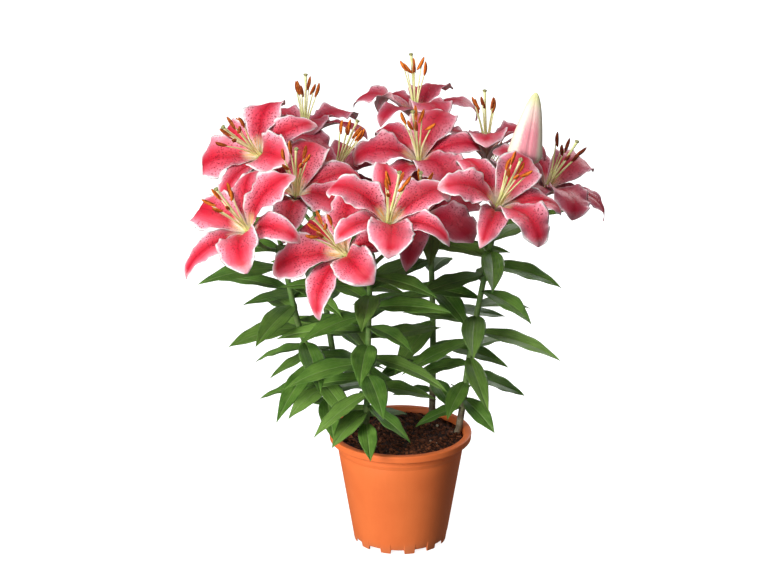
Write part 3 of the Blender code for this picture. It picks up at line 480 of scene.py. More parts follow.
def soil_finish(name, low, high):
    """Damp dark bark and peat, each crumb its own brown."""
    made = Finish(name, {"Specular IOR Level": 0.2})
    place = made.place()
    own = made.marks("grain")[0]
    grains = made.noise(place, 900.0, 4.0, 0.65)
    patches = made.noise(place, 130.0)
    colour = made.mix(
        patches.rise(0.35, 0.7), low, high, (own.rise(0.55, 1.0) * 0.7, (0.3, 0.105, 0.042)),
        (own.rise(0.992, 0.996), (0.5, 0.42, 0.32)))
    return made.paint(colour, 0.62 + grains * 0.3, grains + patches * 0.5, 0.0012)


def bulb_finish():
    """Cream scales with brown edges."""
    made = Finish("bulb_scales", {"Specular IOR Level": 0.3})
    place = made.place()
    scales = made.cells(made.stretched(place, (1.0, 1.0, 0.5)), 110.0)
    patches = made.noise(place, 160.0)
    colour = made.mix(
        patches.rise(0.3, 0.7), (0.7, 0.58, 0.34), (0.8, 0.7, 0.48),
        (scales.rise(0.45, 0.75) * 0.7, (0.34, 0.2, 0.09)))
    return made.paint(colour, 0.55 + patches * 0.2, scales, 0.001)


def bud_finish():
    """Closed bud: pale pink sides, cream ribs and a yellow-green tip."""
    made = Finish("lily_bud", {}, (0.12, (1.0, 0.5, 0.4), 0.002))
    rib, way, _ = made.marks("blade")
    place = made.place()
    streaks = made.noise(place, 900.0, drawn=0.08)
    clouds = made.noise(place, 60.0, 2.0)
    side = made.mix((way + (clouds - 0.5) * 0.3).rise(0.9, 0.4), (0.84, 0.66, 0.57), (0.78, 0.29, 0.34))
    colour = made.mix(
        (rib + (streaks - 0.5) * 0.3).rise(0.4, 0.95), side, (0.86, 0.8, 0.62),
        (streaks.rise(0.5, 0.8) * 0.35, (0.92, 0.78, 0.74)),
        ((way + (streaks - 0.5) * 0.1).rise(0.74, 0.98), (0.7, 0.72, 0.34)),
        (way.rise(0.1, 0.0), (0.5, 0.6, 0.24)))
    return made.paint(colour, 0.42 + streaks * 0.12, streaks, 0.0003)


def floor_finish():
    """Pale grey that glows, so that it shows white."""
    made = Finish("pale_floor", {"Emission Color": (1.0, 1.0, 1.0), "Emission Strength": FLOOR_GLOW})
    grain = made.noise(made.place(), 30.0)
    return made.paint(made.mix(grain, (0.58, 0.58, 0.58), (0.62, 0.62, 0.62)), 0.6 + grain * 0.2)


def marked(bm):
    """The layers of numbers that the finishes read at each point."""
    return [bm.verts.layers.float_vector.get(name) or bm.verts.layers.float_vector.new(name)
            for name in ("blade", "grain", "bloom")]


def placed(name, data, place=(0.0, 0.0, 0.0)):
    """An object in the scene, from its data."""
    made = bpy.data.objects.new(name, data)
    made.location = place
    bpy.context.scene.collection.objects.link(made)
    return made


def closed(bm):
    """A mesh with its seams joined and its faces turned outwards."""
    bmesh.ops.remove_doubles(bm, verts=bm.verts, dist=0.00001)
    bmesh.ops.recalc_face_normals(bm, faces=bm.faces)
    return bm


def mesh_of(name, bm):
    """The mesh of a bmesh, which is freed."""
    mesh = bpy.data.meshes.new(name)
    bm.to_mesh(mesh)
    bm.free()
    return mesh


def piece(name, parts, slot, *nodes, sharp=None):
    """One piece from meshes and their finishes, standing for the solids of those nodes."""
    whole = bmesh.new()
    marked(whole)
    finishes = list(dict.fromkeys(finish for bm, finish in parts))
    for bm, finish in parts:
        marked(bm)
        for face in bm.faces:
            face.material_index = finishes.index(finish)
            face.smooth = sharp != 0.0
        loose = mesh_of("loose", bm)
        whole.from_mesh(loose)
        bpy.data.meshes.remove(loose)
    mesh = mesh_of(name, whole)
    if sharp:
        mesh.set_sharp_from_angle(angle=radians(sharp))
    for finish in finishes:
        mesh.materials.append(finish.material)
    made = placed(name, mesh)
    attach(made, "root")
    if nodes:
        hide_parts(*nodes)


def between(low, high, share):
    """The number that lies a share of the way from low to high."""
    return low + (high - low) * share


def smooth_path(points, per_span):
    """Points of a Catmull-Rom curve through the given points."""
    knots = [Vector(point) for point in points]
    knots = [2 * knots[0] - knots[1], *knots, 2 * knots[-1] - knots[-2]]
    path = []
    for a, b, c, d in zip(knots, knots[1:], knots[2:], knots[3:]):
        for step in range(per_span):
            t = step / per_span
            path.append(0.5 * (2 * b + (c - a) * t + (2 * a - 5 * b + 4 * c - d) * t ** 2
                               + (3 * b - a - 3 * c + d) * t ** 3))
    path.append(knots[-2])
    return path


def bezier(start, start_pull, end_pull, end, spans):
    """Points along one cubic curve."""
    path = []
    for step in range(spans + 1):
        t = step / spans
        u = 1.0 - t
        path.append(start * u ** 3 + start_pull * 3 * u * u * t + end_pull * 3 * u * t * t + end * t ** 3)
    return path


def along(path, back):
    """The point a distance back from a path's end, and the path's direction there."""
    left = back
    for one, two in zip(path[::-1], path[-2::-1]):
        span = (one - two).length
        if left <= span:
            return one.lerp(two, left / span), (one - two).normalized()
        left -= span
    return path[0], (path[1] - path[0]).normalized()


def pipe(path, radii, sides):
    """A closed pipe, made by drawing one ring along the path."""
    bm = bmesh.new()
    bmesh.ops.create_circle(bm, cap_ends=True, segments=sides, radius=1.0)
    edges = bm.edges[:]
    turn = (path[1] - path[0]).to_track_quat("Z", "Y")
    matrix = Matrix.LocRotScale(path[0], turn, Vector((radii[0],) * 3))
    bm.transform(matrix)
    for k in range(1, len(path)):
        way = (path[min(k + 1, len(path) - 1)] - path[k - 1]).normalized()
        turn = turn.to_matrix().col[2].rotation_difference(way) @ turn
        after = Matrix.LocRotScale(path[k], turn, Vector((radii[k],) * 3))
        drawn = bmesh.ops.extrude_edge_only(bm, edges=edges)["geom"]
        ring = [item for item in drawn if isinstance(item, bmesh.types.BMVert)]
        edges = [item for item in drawn if isinstance(item, bmesh.types.BMEdge)]
        bmesh.ops.transform(bm, matrix=after @ matrix.inverted(), verts=ring)
        matrix = after
    bmesh.ops.contextual_create(bm, geom=edges)
    bmesh.ops.recalc_face_normals(bm, faces=bm.faces)
    return bm


def blade(columns, rows, surface, number, bloom=(0.0, 0.0, 0.0)):
    """A thin closed blade from surface(s, t, side), which gives a point and the half width there."""
    bm = bmesh.new()
    place, grain, kind = marked(bm)
    bmesh.ops.create_grid(bm, x_segments=columns, y_segments=rows, size=1.0)
    for vert in bm.verts:
        vert.co.z = 1.0
    copy = bmesh.ops.duplicate(bm, geom=bm.verts[:] + bm.edges[:] + bm.faces[:])["geom"]
    for item in copy:
        if isinstance(item, bmesh.types.BMVert):
            item.co.z = -1.0
    bmesh.ops.reverse_faces(bm, faces=[item for item in copy if isinstance(item, bmesh.types.BMFace)])
    for vert in bm.verts:
        across = sin(vert.co.x * pi / 2) * 0.35 + vert.co.x * 0.65
        way = 0.5 * (vert.co.y + 1.0)
        side = vert.co.z
        point, half, far = surface(across, way, side)
        vert[place] = (across, way, side)
        vert[grain] = (half * across, far, number)
        vert[kind] = bloom
        vert.co = point
    return closed(bm)


def midline(length, angle_at, out, up):
    """Gives how far out and up a midline is at t, and its angle from straight up."""
    outs = [out]
    ups = [up]
    step = length / MIDLINE_STEPS
    for k in range(MIDLINE_STEPS):
        angle = radians(angle_at((k + 0.5) / MIDLINE_STEPS))
        outs.append(outs[-1] + step * sin(angle))
        ups.append(ups[-1] + step * cos(angle))

    def at(t):
        place = min(t * MIDLINE_STEPS, MIDLINE_STEPS - 1e-6)
        k = int(place)
        out, up = (between(steps[k], steps[k + 1], place - k) for steps in (outs, ups))
        return out, up, radians(angle_at(t))

    return at


def off_midline(out, up, angle, lift, across, turn):
    """The point beside a midline's point by lift and across, turned about the upright axis."""
    out -= cos(angle) * lift
    up += sin(angle) * lift
    return Vector((out * cos(turn) - across * sin(turn),
                   out * sin(turn) + across * cos(turn), up))


def blade_outline(rise, fall):
    """The width of a blade along its length, 1 where it is widest."""
    widest = rise / (rise + fall)
    peak = widest ** rise * (1.0 - widest) ** fall
    return lambda t: t ** rise * (1.0 - t) ** fall / peak


class Corners:
    """The corners of a node's solid, to find which way each of its blades is bent."""

    def __init__(self, node):
        points = [vert.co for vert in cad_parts[node].data.vertices]
        self.tree = KDTree(len(points))
        for number, point in enumerate(points):
            self.tree.insert(point, number)
        self.tree.balance()

    def choose(self, ways, surface_of, levels, matrix):
        """How near a blade's tip and edges can come to corners, and the way in which they do."""
        best = None
        for way in ways:
            surface = surface_of(*way, 0.0)
            points = [matrix @ surface(s, t, 1)[0] for s, t in zip((0, 1, -1), (1.0, *levels))]
            miss = max(self.tree.find(point)[2] for point in points)
            if best is None or miss < best[0]:
                best = (miss, way)
            if miss < SAME_PLACE / 8:
                break
        return best


def tepal_surface(form, look, bend, turn, shorten, relief):
    """One tepal in its bloom's frame, +Z out of the throat. At relief 0 it is the solid's own surface."""
    length = look["length"] * shorten
    width = form["width"] * look["wide"]
    spread = form["spread"] + look["spread"] + bend
    curl = CURL_ANGLE + look["curl"]
    tip_roll = relief * (14.0 + 26.0 * look["phase"])
    around = radians(look["around"] + turn)
    outline = blade_outline(*form["outline"])

    def angle_at(t):
        return form["start"] + spread * t + curl * t ** 4 + tip_roll * t ** 8

    at = midline(length, angle_at, *form["root"])

    def surface(s, t, side):
        out, up, angle = at(t)
        arch = sin(pi * t)
        half = 0.5 * width * outline(t) + CLAW_HALF_WIDTH * min(1.0, 20.0 * t) * (1.0 - t)
        hand = 0.31 * (s > 0)
        uneven = noise.noise(Vector((11.0 * t, 40.0 * look["phase"], 9.0 * hand)))
        half *= 1.0 + relief * 0.075 * uneven * arch ** 0.5
        thick = between(TEPAL_THICKNESS, CLAW_THICKNESS, max(0.0, 1.0 - t / 0.3))
        thick *= min(1.0, 20.0 * t) * (1.0 - t ** 6) * (1.0 - 0.35 * relief)
        # Near the throat the section wraps round the bloom's axis, and further out it lies flat
        wrap = out / max(cos(angle), 0.12) * form["wrap"]
        across = wrap * sin(half * s / wrap)
        lift = wrap * (1.0 - cos(half * s / wrap))
        ease = min(1.0, max(0.0, (t - 0.18) / 0.30))
        wave = sin(2.0 * pi * (look["waves"] * t + look["phase"] + hand))
        wave *= look["wave"] * ease * arch ** 0.6
        lift += (0.10 - 0.24 * t * t) * ease * half * s * s + wave * abs(s) ** 2.5
        # The finer forms: small ripples along the edge, a channel down the middle and two long swells
        ripple = sin(2.0 * pi * (3.1 * look["waves"] * t + 3.0 * look["phase"] + 1.7 * hand))
        ripple += 1.3 * noise.noise(Vector((17.0 * t, 70.0 * look["phase"], 9.0 * hand)))
        lift += relief * form["ripple"] * ease * arch ** 0.4 * ripple * abs(s) ** 4
        channel = exp(-(half * s / 0.0018) ** 2)
        swell = exp(-((abs(half * s) - 0.0062) / 0.0036) ** 2)
        lift += relief * min(1.0, 6.0 * t) * (1.0 - t ** 3) * (0.0006 * swell - 0.0010 * channel)
        lift += side * 0.5 * thick * sqrt(max(0.0, 1.0 - s * s))
        across += look["sway"] * length * t * t
        return off_midline(out, up, angle, lift, across, around), half, length * t

    return surface


def tepal_looks(name, rng):
    """The six tepals of a bloom by turns, first an inner one, then an outer one."""
    bends = TEPAL_BENDS.get(name, {})
    looks = []
    for number in range(6):
        form = TEPAL_KINDS[number % 2]
        looks.append((form, {
            "around": 60.0 * number + rng.uniform(-5.0, 5.0),
            "length": form["length"] * rng.uniform(0.94, 1.05),
            "wide": rng.uniform(0.92, 1.06),
            "spread": rng.uniform(-9.0, 9.0) + bends.get(number, 0),
            "curl": rng.uniform(-22.0, 30.0),
            "sway": rng.uniform(-0.07, 0.07),
            "wave": form["wave"] * rng.uniform(0.8, 1.25),
            "waves": form["waves"] * rng.uniform(0.9, 1.1),
            "phase": rng.random(),
        }))
    return looks


def bloom_frame(root, azimuth, elevation, roll):
    """Matrix whose +Z is the way that a bloom faces and whose +X is its first tepal's side."""
    turn = radians(azimuth)
    rise = radians(elevation)
    face = Vector((sin(turn) * cos(rise), -cos(turn) * cos(rise), sin(rise)))
    front = Vector((0.0, -1.0, 0.0))
    low = (front - face * front.dot(face)).normalized()
    side = face.cross(low)
    basis = Matrix((low, side, face)).transposed().to_4x4()
    return Matrix.Translation(root) @ basis @ Matrix.Rotation(radians(roll), 4, "Z")


def turned(line, steps):
    """The body that a line of (radius, height) points makes, spun about the upright axis."""
    bm = bmesh.new()
    verts = [bm.verts.new((radius, 0.0, height)) for radius, height in line]
    edges = [bm.edges.new(pair) for pair in zip(verts, verts[1:])]
    bmesh.ops.spin(bm, geom=verts + edges, cent=(0, 0, 0), axis=(0, 0, 1), dvec=(0, 0, 0),
                   angle=2 * pi, steps=steps, use_merge=True, use_duplicate=False)
    return closed(bm)


def make_tepals(name, number, matrix, painted_shade, finish, green):
    """A bloom's six tepals on a cup, the flared head of the flower stalk."""
    node = "bloom_" + name + "_tepals"
    corners = Corners(node)
    cup = turned(((0.0, 0.0), (0.0030, 0.0), (0.0036, 0.0008), (0.0046, 0.0045), (0.0054, 0.0078),
                  (0.0048, 0.0092), (0.0, 0.0092)), CUP_STEPS)
    cup.transform(matrix)
    parts = [(cup, green)]
    rng = Random(TEPAL_TINT_SEED + number)
    for form, look in tepal_looks(name, Random(TEPAL_SEED + number)):
        surface_of = partial(tepal_surface, form, look)
        way = corners.choose(TEPAL_WAYS, surface_of, form["corners"], matrix)[1]
        # The bloom's painted shade and the tepal's kind go to the finish
        bloom = (painted_shade, form["broad"], 0.0)
        part = blade(*TEPAL_GRID, surface_of(*way, 1.0), rng.random(), bloom)
        part.transform(matrix)
        parts.append((part, finish))
    piece(name + "_tepals", parts, "tepal", node)


def anther(end, out, axis, dark):
    """A spindle of two lobes with a furrow between them, slightly bowed."""
    bm = bmesh.new()
    bloom = marked(bm)[2]
    bmesh.ops.create_uvsphere(bm, u_segments=12, v_segments=10, radius=1.0)
    side = axis.cross(out).normalized()
    turn = Matrix((side, axis.cross(side), axis)).transposed().to_4x4()
    for vert in bm.verts:
        angle = atan2(vert.co.x, -vert.co.y)
        lobe = 1.0 - 0.26 * exp(-(angle / 0.5) ** 2) + 0.06 * cos(2.0 * angle)
        height = vert.co.z
        width = ANTHER_RADIUS * lobe * (1.0 - height * height) ** 0.12
        vert.co = Vector((vert.co.x * width, vert.co.y * width - 0.0011 * (height * height - 0.2),
                          height * ANTHER_LENGTH / 2))
        vert[bloom] = (dark, abs(angle) / pi, 0.0)
    bm.transform(Matrix.Translation(end + out * ANTHER_RADIUS * 0.45) @ turn)
    return bm


def make_stamens(name, number, matrix, dark, finishes):
    """Six filaments with anthers, and the style with its ovary and three-lobed stigma."""
    filament, pollen, stigma = finishes
    rng = Random(STAMEN_SEED + number)
    level = CUP_HEIGHT + GAP
    up = Vector((0.0, 0.0, 1.0))
    foot = up * (level + DISC_HEIGHT * 0.6)
    disc = turned(((0.0, level - 0.0002), (0.0031, level - 0.0002), (0.0037, level + 0.0012),
                   (0.0030, level + DISC_HEIGHT), (0.0, level + DISC_HEIGHT)), CUP_STEPS)
    parts = [(disc, filament)]
    girth = [0.00155 - 0.00080 * (k / 9) ** 0.8 for k in range(10)]
    for k in range(6):
        place = radians(60.0 * k + 30.0)
        start = Vector((cos(place), sin(place), 0.0)) * FILAMENT_RING + foot
        around = place + radians(rng.uniform(-9, 9))
        lean = radians(FILAMENT_LEAN + rng.uniform(-5, 6))
        outward = Vector((cos(around), sin(around), 0.0))
        reach = FILAMENT_LENGTH * rng.uniform(0.93, 1.04)
        end = start + (outward * sin(lean) + up * cos(lean)) * reach
        tilt = lean + radians(rng.uniform(-6, 34))
        axis = outward * sin(tilt) + up * cos(tilt)
        out = outward * cos(tilt) - up * sin(tilt)
        pull = outward * sin(lean * 1.4) + up * cos(lean * 1.4)
        path = bezier(start, start + up * reach * 0.36 - outward * 0.0006, end - pull * reach * 0.3, end, 9)
        parts.append((pipe(path, girth, 8), filament))
        parts.append((anther(end, -out, axis, dark), pollen))
    tip = Vector((rng.uniform(-0.004, 0.004), rng.uniform(-0.004, 0.004), level + STYLE_LENGTH))
    path = bezier(foot, foot + up * 0.030, tip - up * 0.025 + tip.cross(up) * 0.4, tip, 14)
    radii = [0.0022, 0.0024, 0.0024, 0.0022, 0.0019] + [0.00155] * 8 + [0.0018, 0.0022]
    parts.append((pipe(path, radii, 10), filament))
    head = bmesh.new()
    bmesh.ops.create_uvsphere(head, u_segments=24, v_segments=12, radius=1.0)
    for vert in head.verts:
        angle = atan2(vert.co.y, vert.co.x)
        lobe = 0.82 + 0.22 * abs(cos(1.5 * angle)) ** 0.7
        radius = STIGMA_RADIUS * lobe * (0.78 + 0.22 * vert.co.z)
        furrow = 0.25 * exp(-(sin(1.5 * angle + pi / 2) / 0.25) ** 2)
        height = STIGMA_HEIGHT * (0.5 - furrow * (vert.co.z > 0))
        vert.co = tip + Vector((vert.co.x * radius, vert.co.y * radius, vert.co.z * height))
    parts.append((head, stigma))
    for bm, finish in parts:
        bm.transform(matrix)
    piece(name + "_stamens", parts, "anther", "bloom_" + name + "_stamens")


def leaf_surface(look, bend, turn, relief):
    """One leaf about its own root. At relief 0 it is the solid's own surface."""
    length = look["length"]
    rise = look["rise"] - bend
    around = radians(look["around"] + turn)
    outline = blade_outline(*LEAF_OUTLINE)

    def angle_at(t):
        return 90.0 - rise + look["droop"] * t ** 1.3

    at = midline(length, angle_at, -LEAF_ROOT_BACK, 0.0)

    def surface(s, t, side):
        out, up, angle = at(t)
        arch = sin(pi * t)
        half = 0.5 * look["width"] * outline(t) * (1.0 - relief * 0.15 * t ** 6)
        fold = abs(s) + relief * (sqrt(s * s + 0.02) - 0.141 - abs(s))
        lift = LEAF_KEEL * half * fold * (1.0 - 0.5 * t)
        lift += look["wave"] * s * sin(2.0 * pi * (1.4 * t + look["phase"])) * arch
        # The finer forms: a channel along the midrib and an edge that isn't quite even
        lift -= relief * 0.0006 * exp(-(half * s / 0.0013) ** 2) * min(1.0, 8.0 * t)
        edge = sin(2.0 * pi * (3.3 * t + 2.0 * look["phase"] + 0.4 * (s > 0)))
        lift += relief * 0.0009 * edge * abs(s) ** 3 * arch
        thick = LEAF_THICKNESS * min(1.0, 12.0 * t) * (1.0 - t ** 6) * (1.0 - 0.45 * relief)
        lift += side * 0.5 * thick * sqrt(max(0.0, 1.0 - s * s))
        across = half * s + look["sway"] * length * t * t
        twist = radians(look["twist"] * t ** 0.6)
        lift, across = lift * cos(twist) + across * sin(twist), (
            across * cos(twist) - lift * sin(twist))
        return off_midline(out, up, angle, lift, across, around), half, length * t

    return surface


def stem_path(name, per_span):
    """Points up a stem, from the top of its bulb."""
    bulb, foot, climb = STEMS[name]
    foot = Vector(foot)
    axis = (foot - Vector(bulb)).normalized()
    start = Vector(bulb) + axis * (BULB_UP + GAP)
    above = foot + axis * STEM_STRAIGHT
    return [start, *smooth_path((above, *climb), per_span)]


def make_leaves(name, number, path, finish):
    """The leaves of a stem, up it in a spiral, but for any that its solid has no room for."""
    corners = Corners("stem_" + name)
    rng = Random(LEAF_SEED + number)
    own = Random(LEAF_TINT_SEED + number)
    length = sum((two - one).length for one, two in zip(path[1:], path[2:]))
    around = rng.uniform(0.0, 360.0)
    parts = []
    for k in range(LEAF_COUNTS[name]):
        share = k / (LEAF_COUNTS[name] - 1)
        root = along(path, (length - LEAF_LOWEST) * (1.0 - share) + 0.004)[0]
        around += GOLDEN_ANGLE
        size = between(LEAF_LEAST_SIZE, 1.0, min(1.0, share / LEAF_FULL_SIZE_SHARE))
        look = {
            "around": around + rng.uniform(-12, 12),
            "length": rng.uniform(*LEAF_LENGTHS) * size,
            "width": rng.uniform(*LEAF_WIDTHS) * (0.4 + 0.6 * size),
            "rise": between(*LEAF_SLOPES, share) + rng.uniform(-10, 10),
            "droop": between(*LEAF_DROOPS, share) + rng.uniform(-12, 12),
            "wave": rng.uniform(0.0, 0.0018),
            "phase": rng.random(),
            "sway": rng.uniform(-0.10, 0.10),
            "twist": LEAF_TURN_TO_FRONT * cos(radians(around)) + rng.uniform(-14, 14),
        }
        surface_of = partial(leaf_surface, look)
        matrix = Matrix.Translation(root)
        miss, way = corners.choose(LEAF_WAYS, surface_of, LEAF_CORNERS, matrix)
        if miss > SAME_PLACE:
            continue
        part = blade(*LEAF_GRID, surface_of(*way, 1.0), own.random())
        part.transform(matrix)
        parts.append((part, finish))
    return parts


def make_stem(name, number, blooms, cane, leaf):
    """A stem with its flower stalks and leaves."""
    path = stem_path(name, 2)
    fine = stem_path(name, 8)
    radii = [between(STEM_FOOT_RADIUS, STEM_TOP_RADIUS, max(0, k - 1) / (len(fine) - 2))
             for k in range(len(fine))]
    radii[-1] *= 0.8
    parts = [(pipe(fine, radii, 14), cane)]
    girth = [PEDICEL_RADIUS * (1.12 - 0.22 * sin(pi * k / 17)) for k in range(18)]
    for root, face, down in blooms:
        start, direction = along(path, down)
        reach = (root - start).length
        end = root - face * GAP
        neck = end - face * STALK_NECK
        route = bezier(start, start + direction * reach * 0.35, neck - face * reach * 0.3, neck, 16)
        parts.append((pipe([*route, end], girth, 12), cane))
    parts.extend(make_leaves(name, number, path, leaf))
    piece("stem_and_leaves_" + name, parts, "leaf", "stem_" + name)


def wall_radius(height):
    """The radius of the pot's wall on the outside."""
    return BASE_RADIUS + WALL_SLOPE * height


def pot_line():
    """The pot's outline, from its floor up the inside, over the lip and down the outside."""
    top = POT_HEIGHT
    under_lip = top - LIP_HEIGHT
    inside = WALL_TOP + WALL * 0.2
    band = WALL_TOP + BAND_STEP * 0.5
    band_foot = wall_radius(BAND_LOW)
    line = [
        (0.0, FLOOR_LEVEL), (wall_radius(FLOOR_LEVEL) - WALL, FLOOR_LEVEL),
        (wall_radius(under_lip) - WALL, under_lip),
        (inside, top - 0.0016), (inside + 0.0006, top - 0.0005), (inside + 0.0018, top)]
    for k in range(7):
        angle = radians(90.0 - 15.0 * k)
        line.append((RIM_RADIUS - LIP_ROUND * (1.0 - cos(angle)),
                     top - LIP_ROUND * (1.0 - sin(angle))))
    line += [
        (RIM_RADIUS - LIP_ROUND * 0.34, under_lip + 0.0012), (RIM_RADIUS - LIP_ROUND * 0.9, under_lip),
        (band + 0.0008, under_lip), (band, under_lip - 0.0008),
        (band_foot + BAND_STEP, BAND_LOW + BAND_STEP * 1.6), (band_foot + BAND_STEP * 0.9, BAND_LOW)]
    # A fine groove runs round a little under the band
    for drop, dip in ((0.0006, 0.0), (0.0040, 0.0), (0.0046, 0.00022), (0.0052, 0.0)):
        line.append((wall_radius(BAND_LOW - drop) - dip, BAND_LOW - drop))
    line += [(wall_radius(height), height) for height in (0.110, 0.090, 0.070, 0.050, 0.030, 0.014)]
    line += [
        (BASE_RADIUS + 0.0002, 0.0012), (BASE_RADIUS - 0.0004, 0.0), (BASE_RADIUS - WALL + 0.0004, 0.0),
        (wall_radius(FLOOR_LEVEL) - WALL * 1.1, FLOOR_LEVEL - FLOOR_THICKNESS),
        (0.0, FLOOR_LEVEL - FLOOR_THICKNESS)]
    return line


def make_pot(finish):
    """The pot, with notches between its feet."""
    bm = turned(pot_line(), FOOT_COUNT * FOOT_STEPS)
    pitch = 360.0 / FOOT_COUNT
    step = pitch / FOOT_STEPS
    first = -90.0 + FOOT_ANGLE + pitch / 2
    notch = NOTCH_ANGLE / 2
    for vert in bm.verts:
        radius = vert.co.xy.length
        if radius < 0.001:
            continue
        angle = step * round(degrees(atan2(vert.co.y, vert.co.x)) / step)
        slot_middle = pitch * round(angle / pitch)
        away = angle - slot_middle
        # The third and fourth steps from a notch's middle go to its edges
        if abs(away) == 3 * step:
            away = copysign(notch, away)
        elif abs(away) == 4 * step:
            away = copysign(notch + 0.7, away)
        turn = radians(first + slot_middle + away)
        height = vert.co.z
        if height < 0.002 and radius > BASE_RADIUS - 2 * WALL and abs(away) <= notch:
            height += NOTCH_HEIGHT
        vert.co = (radius * cos(turn), radius * sin(turn), height)
    piece("pot_moulding", [(bm, finish)], "terracotta_plastic", "pot", sharp=32.0)


def soil_height(x, y):
    """The level of the uneven soil at a place."""
    swell = sin(x * 95 + 0.7) * cos(y * 80 - 0.4)
    rough = noise.fractal(Vector((x * 90, y * 90, 2.0)), 1.0, 2.0, 4)
    return SOIL_LEVEL + SOIL_BUMP * (0.6 * swell + 0.55 * rough)


def make_soil(ground, crumb):
    """The filling of the pot, and the crumbs of bark that lie on it."""
    low = FLOOR_LEVEL + GAP
    foot_radius = wall_radius(low) - WALL - 2 * GAP
    top_radius = foot_radius + WALL_SLOPE * (SOIL_LEVEL - low)
    line = [(0.0, low), (foot_radius, low), (top_radius, SOIL_LEVEL - SOIL_SINK)]
    line += [(top_radius * (1.0 - k / SOIL_RINGS), SOIL_LEVEL) for k in range(1, SOIL_RINGS + 1)]
    bm = turned(line, SOIL_STEPS)
    for vert in bm.verts:
        if vert.co.z > SOIL_LEVEL - 0.0001:
            vert.co.z = soil_height(vert.co.x, vert.co.y) - SOIL_SINK
    piece("soil_filling", [(bm, ground)], "soil", "soil")

    seed = bmesh.new()
    bmesh.ops.create_icosphere(seed, subdivisions=1, radius=1.0)
    template = mesh_of("crumb", seed)
    rng = Random(CRUMB_SEED)
    crumbs = bmesh.new()
    own = marked(crumbs)[1]
    feet = [Vector(stem[1]).xy for stem in STEMS.values()]
    for k in range(CRUMBS):
        radius = (top_radius - 0.0022) * sqrt(rng.random())
        around = rng.uniform(0.0, 2.0 * pi)
        middle = Vector((radius * cos(around), radius * sin(around)))
        size = 0.0007 + 0.0020 * rng.random() ** 3
        stretch = Vector((rng.uniform(0.8, 1.9), rng.uniform(0.6, 1.1), rng.uniform(0.45, 0.9))) * size
        turn = Matrix.Rotation(rng.uniform(0, 6.28), 4, "Z") @ Matrix.Rotation(rng.uniform(-0.6, 0.6), 4, "X")
        tint = rng.random()
        if min((middle - foot).length for foot in feet) < CRUMB_CLEAR:
            continue
        crumbs.from_mesh(template)
        crumbs.verts.ensure_lookup_table()
        fresh = crumbs.verts[-12:]
        for vert in fresh:
            vert.co *= rng.uniform(0.72, 1.15)
            vert[own] = (tint, 0.0, 0.0)
        height = soil_height(*middle) + stretch.z * 0.25
        spot = Matrix.Translation((*middle, height)) @ turn @ Matrix.Diagonal((*stretch, 1.0))
        bmesh.ops.transform(crumbs, matrix=spot, verts=fresh)
    bpy.data.meshes.remove(template)
    piece("bark_crumbs", [(crumbs, crumb)], "soil", sharp=0.0)


def make_bud(finish):
    """The closed bud, with three ribs and the seams between its outer tepals."""
    length = BUD_WAY.length
    bm = bmesh.new()
    place = marked(bm)[0]
    bmesh.ops.create_uvsphere(bm, u_segments=60, v_segments=44, radius=1.0)
    for vert in bm.verts:
        t = 0.5 * (vert.co.z + 1.0)
        angle = atan2(vert.co.y, vert.co.x)
        swell = sqrt(1.0 - max(0.0, 1.0 - t / BUD_WIDEST) ** 2)
        girth = between(BUD_FOOT, 1.0, swell) * (1.0 - t) ** BUD_TAPER * BUD_FULLNESS
        seam = exp(-(cos(1.5 * angle) / 0.10) ** 2)
        rib = 0.5 + 0.5 * cos(3.0 * angle)
        radius = BUD_RADIUS * girth * (1.0 + BUD_RIBS * cos(3.0 * angle) - BUD_SEAMS * seam)
        radius *= 1.0 + 0.02 * rib ** 8
        vert[place] = (rib, t, 1.0)
        flat = vert.co.xy.length
        if t < 0.001:
            vert.co = (0.0, 0.0, 0.0)
        elif t > 0.999:
            vert.co = (0.0, 0.0, length)
        else:
            height = max(0.0, t - BUD_SEAT) / (1.0 - BUD_SEAT) * length
            vert.co = (vert.co.x / flat * radius, vert.co.y / flat * radius, height)
    turn = BUD_WAY.to_track_quat("Z", "Y").to_matrix().to_4x4()
    closed(bm).transform(Matrix.Translation(BUD_ROOT) @ turn)
    piece("closed_bud", [(bm, finish)], "bud", "bud")


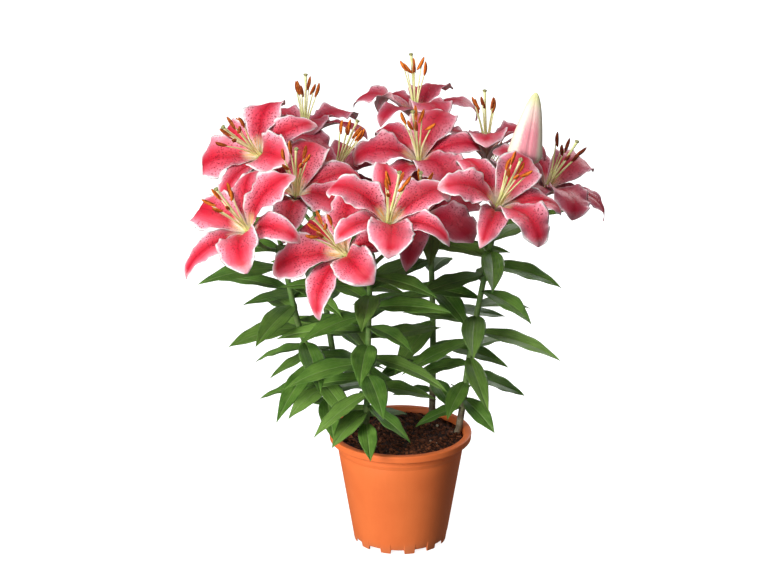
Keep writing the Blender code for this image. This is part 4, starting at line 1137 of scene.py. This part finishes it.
def make_studio():
    """The view of the photograph, a pale floor, the lamps and an even sky."""
    data = bpy.data.cameras.new("photo_view")
    data.lens = LENS
    camera = placed("photo_view", data, CAMERA_PLACE)
    camera.rotation_euler = (pi / 2 - CAMERA_DIP, 0.0, 0.0)
    bpy.context.scene.camera = camera

    bm = bmesh.new()
    bmesh.ops.create_grid(bm, x_segments=8, y_segments=8, size=FLOOR_SIZE)
    mesh = mesh_of("floor", bm)
    mesh.materials.append(floor_finish().material)
    floor = placed("floor", mesh)
    floor.visible_diffuse = False
    floor.visible_glossy = False
    for name, place, aim, size, power, colour in LAMPS:
        data = bpy.data.lights.new(name, "AREA")
        data.shape = "DISK"
        data.size = size
        data.energy = power
        data.color = colour
        lamp = placed(name, data, place)
        way = Vector((0.0, 0.0, aim)) - Vector(place)
        lamp.rotation_euler = way.to_track_quat("-Z", "Y").to_euler()
    world = bpy.data.worlds.new("studio_sky")
    world.use_nodes = True
    sky = world.node_tree.nodes["Background"].inputs
    sky["Color"].default_value = (1.0, 1.0, 1.0, 1.0)
    sky["Strength"].default_value = SKY_STRENGTH
    bpy.context.scene.world = world
    bpy.context.scene.view_settings.view_transform = "Standard"


def main():
    make_studio()
    tepal = tepal_finish()
    leaf = leaf_finish()
    cane = cane_finish()
    stamen_finishes = (filament_finish(), anther_finish(), stigma_finish())

    make_pot(pot_finish())
    make_soil(soil_finish("soil_ground", (0.024, 0.008, 0.005), (0.064, 0.021, 0.010)),
              soil_finish("bark_crumb", (0.056, 0.017, 0.008), (0.180, 0.056, 0.022)))
    make_bud(bud_finish())
    scales = bulb_finish().material
    for name in STEMS:
        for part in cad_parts["bulb_" + name].material_slots:
            part.material = scales

    stalks = {name: [] for name in STEMS}
    for number, (name, root, azimuth, elevation, roll, stem, down, painted_shade) in enumerate(BLOOMS):
        matrix = bloom_frame(Vector(root), azimuth, elevation, roll)
        # Each bloom's tepals carry its painted shade
        make_tepals(name, number, matrix, painted_shade, tepal, cane)
        make_stamens(name, number, matrix, DARK_POLLEN.get(name, 0.0), stamen_finishes)
        stalks[stem].append((Vector(root), matrix.to_3x3().col[2].normalized(), down))
    stalks[BUD_STEM[0]].append((BUD_ROOT, BUD_WAY.normalized(), BUD_STEM[1]))
    for number, name in enumerate(STEMS):
        make_stem(name, number, stalks[name], cane, leaf)


main()
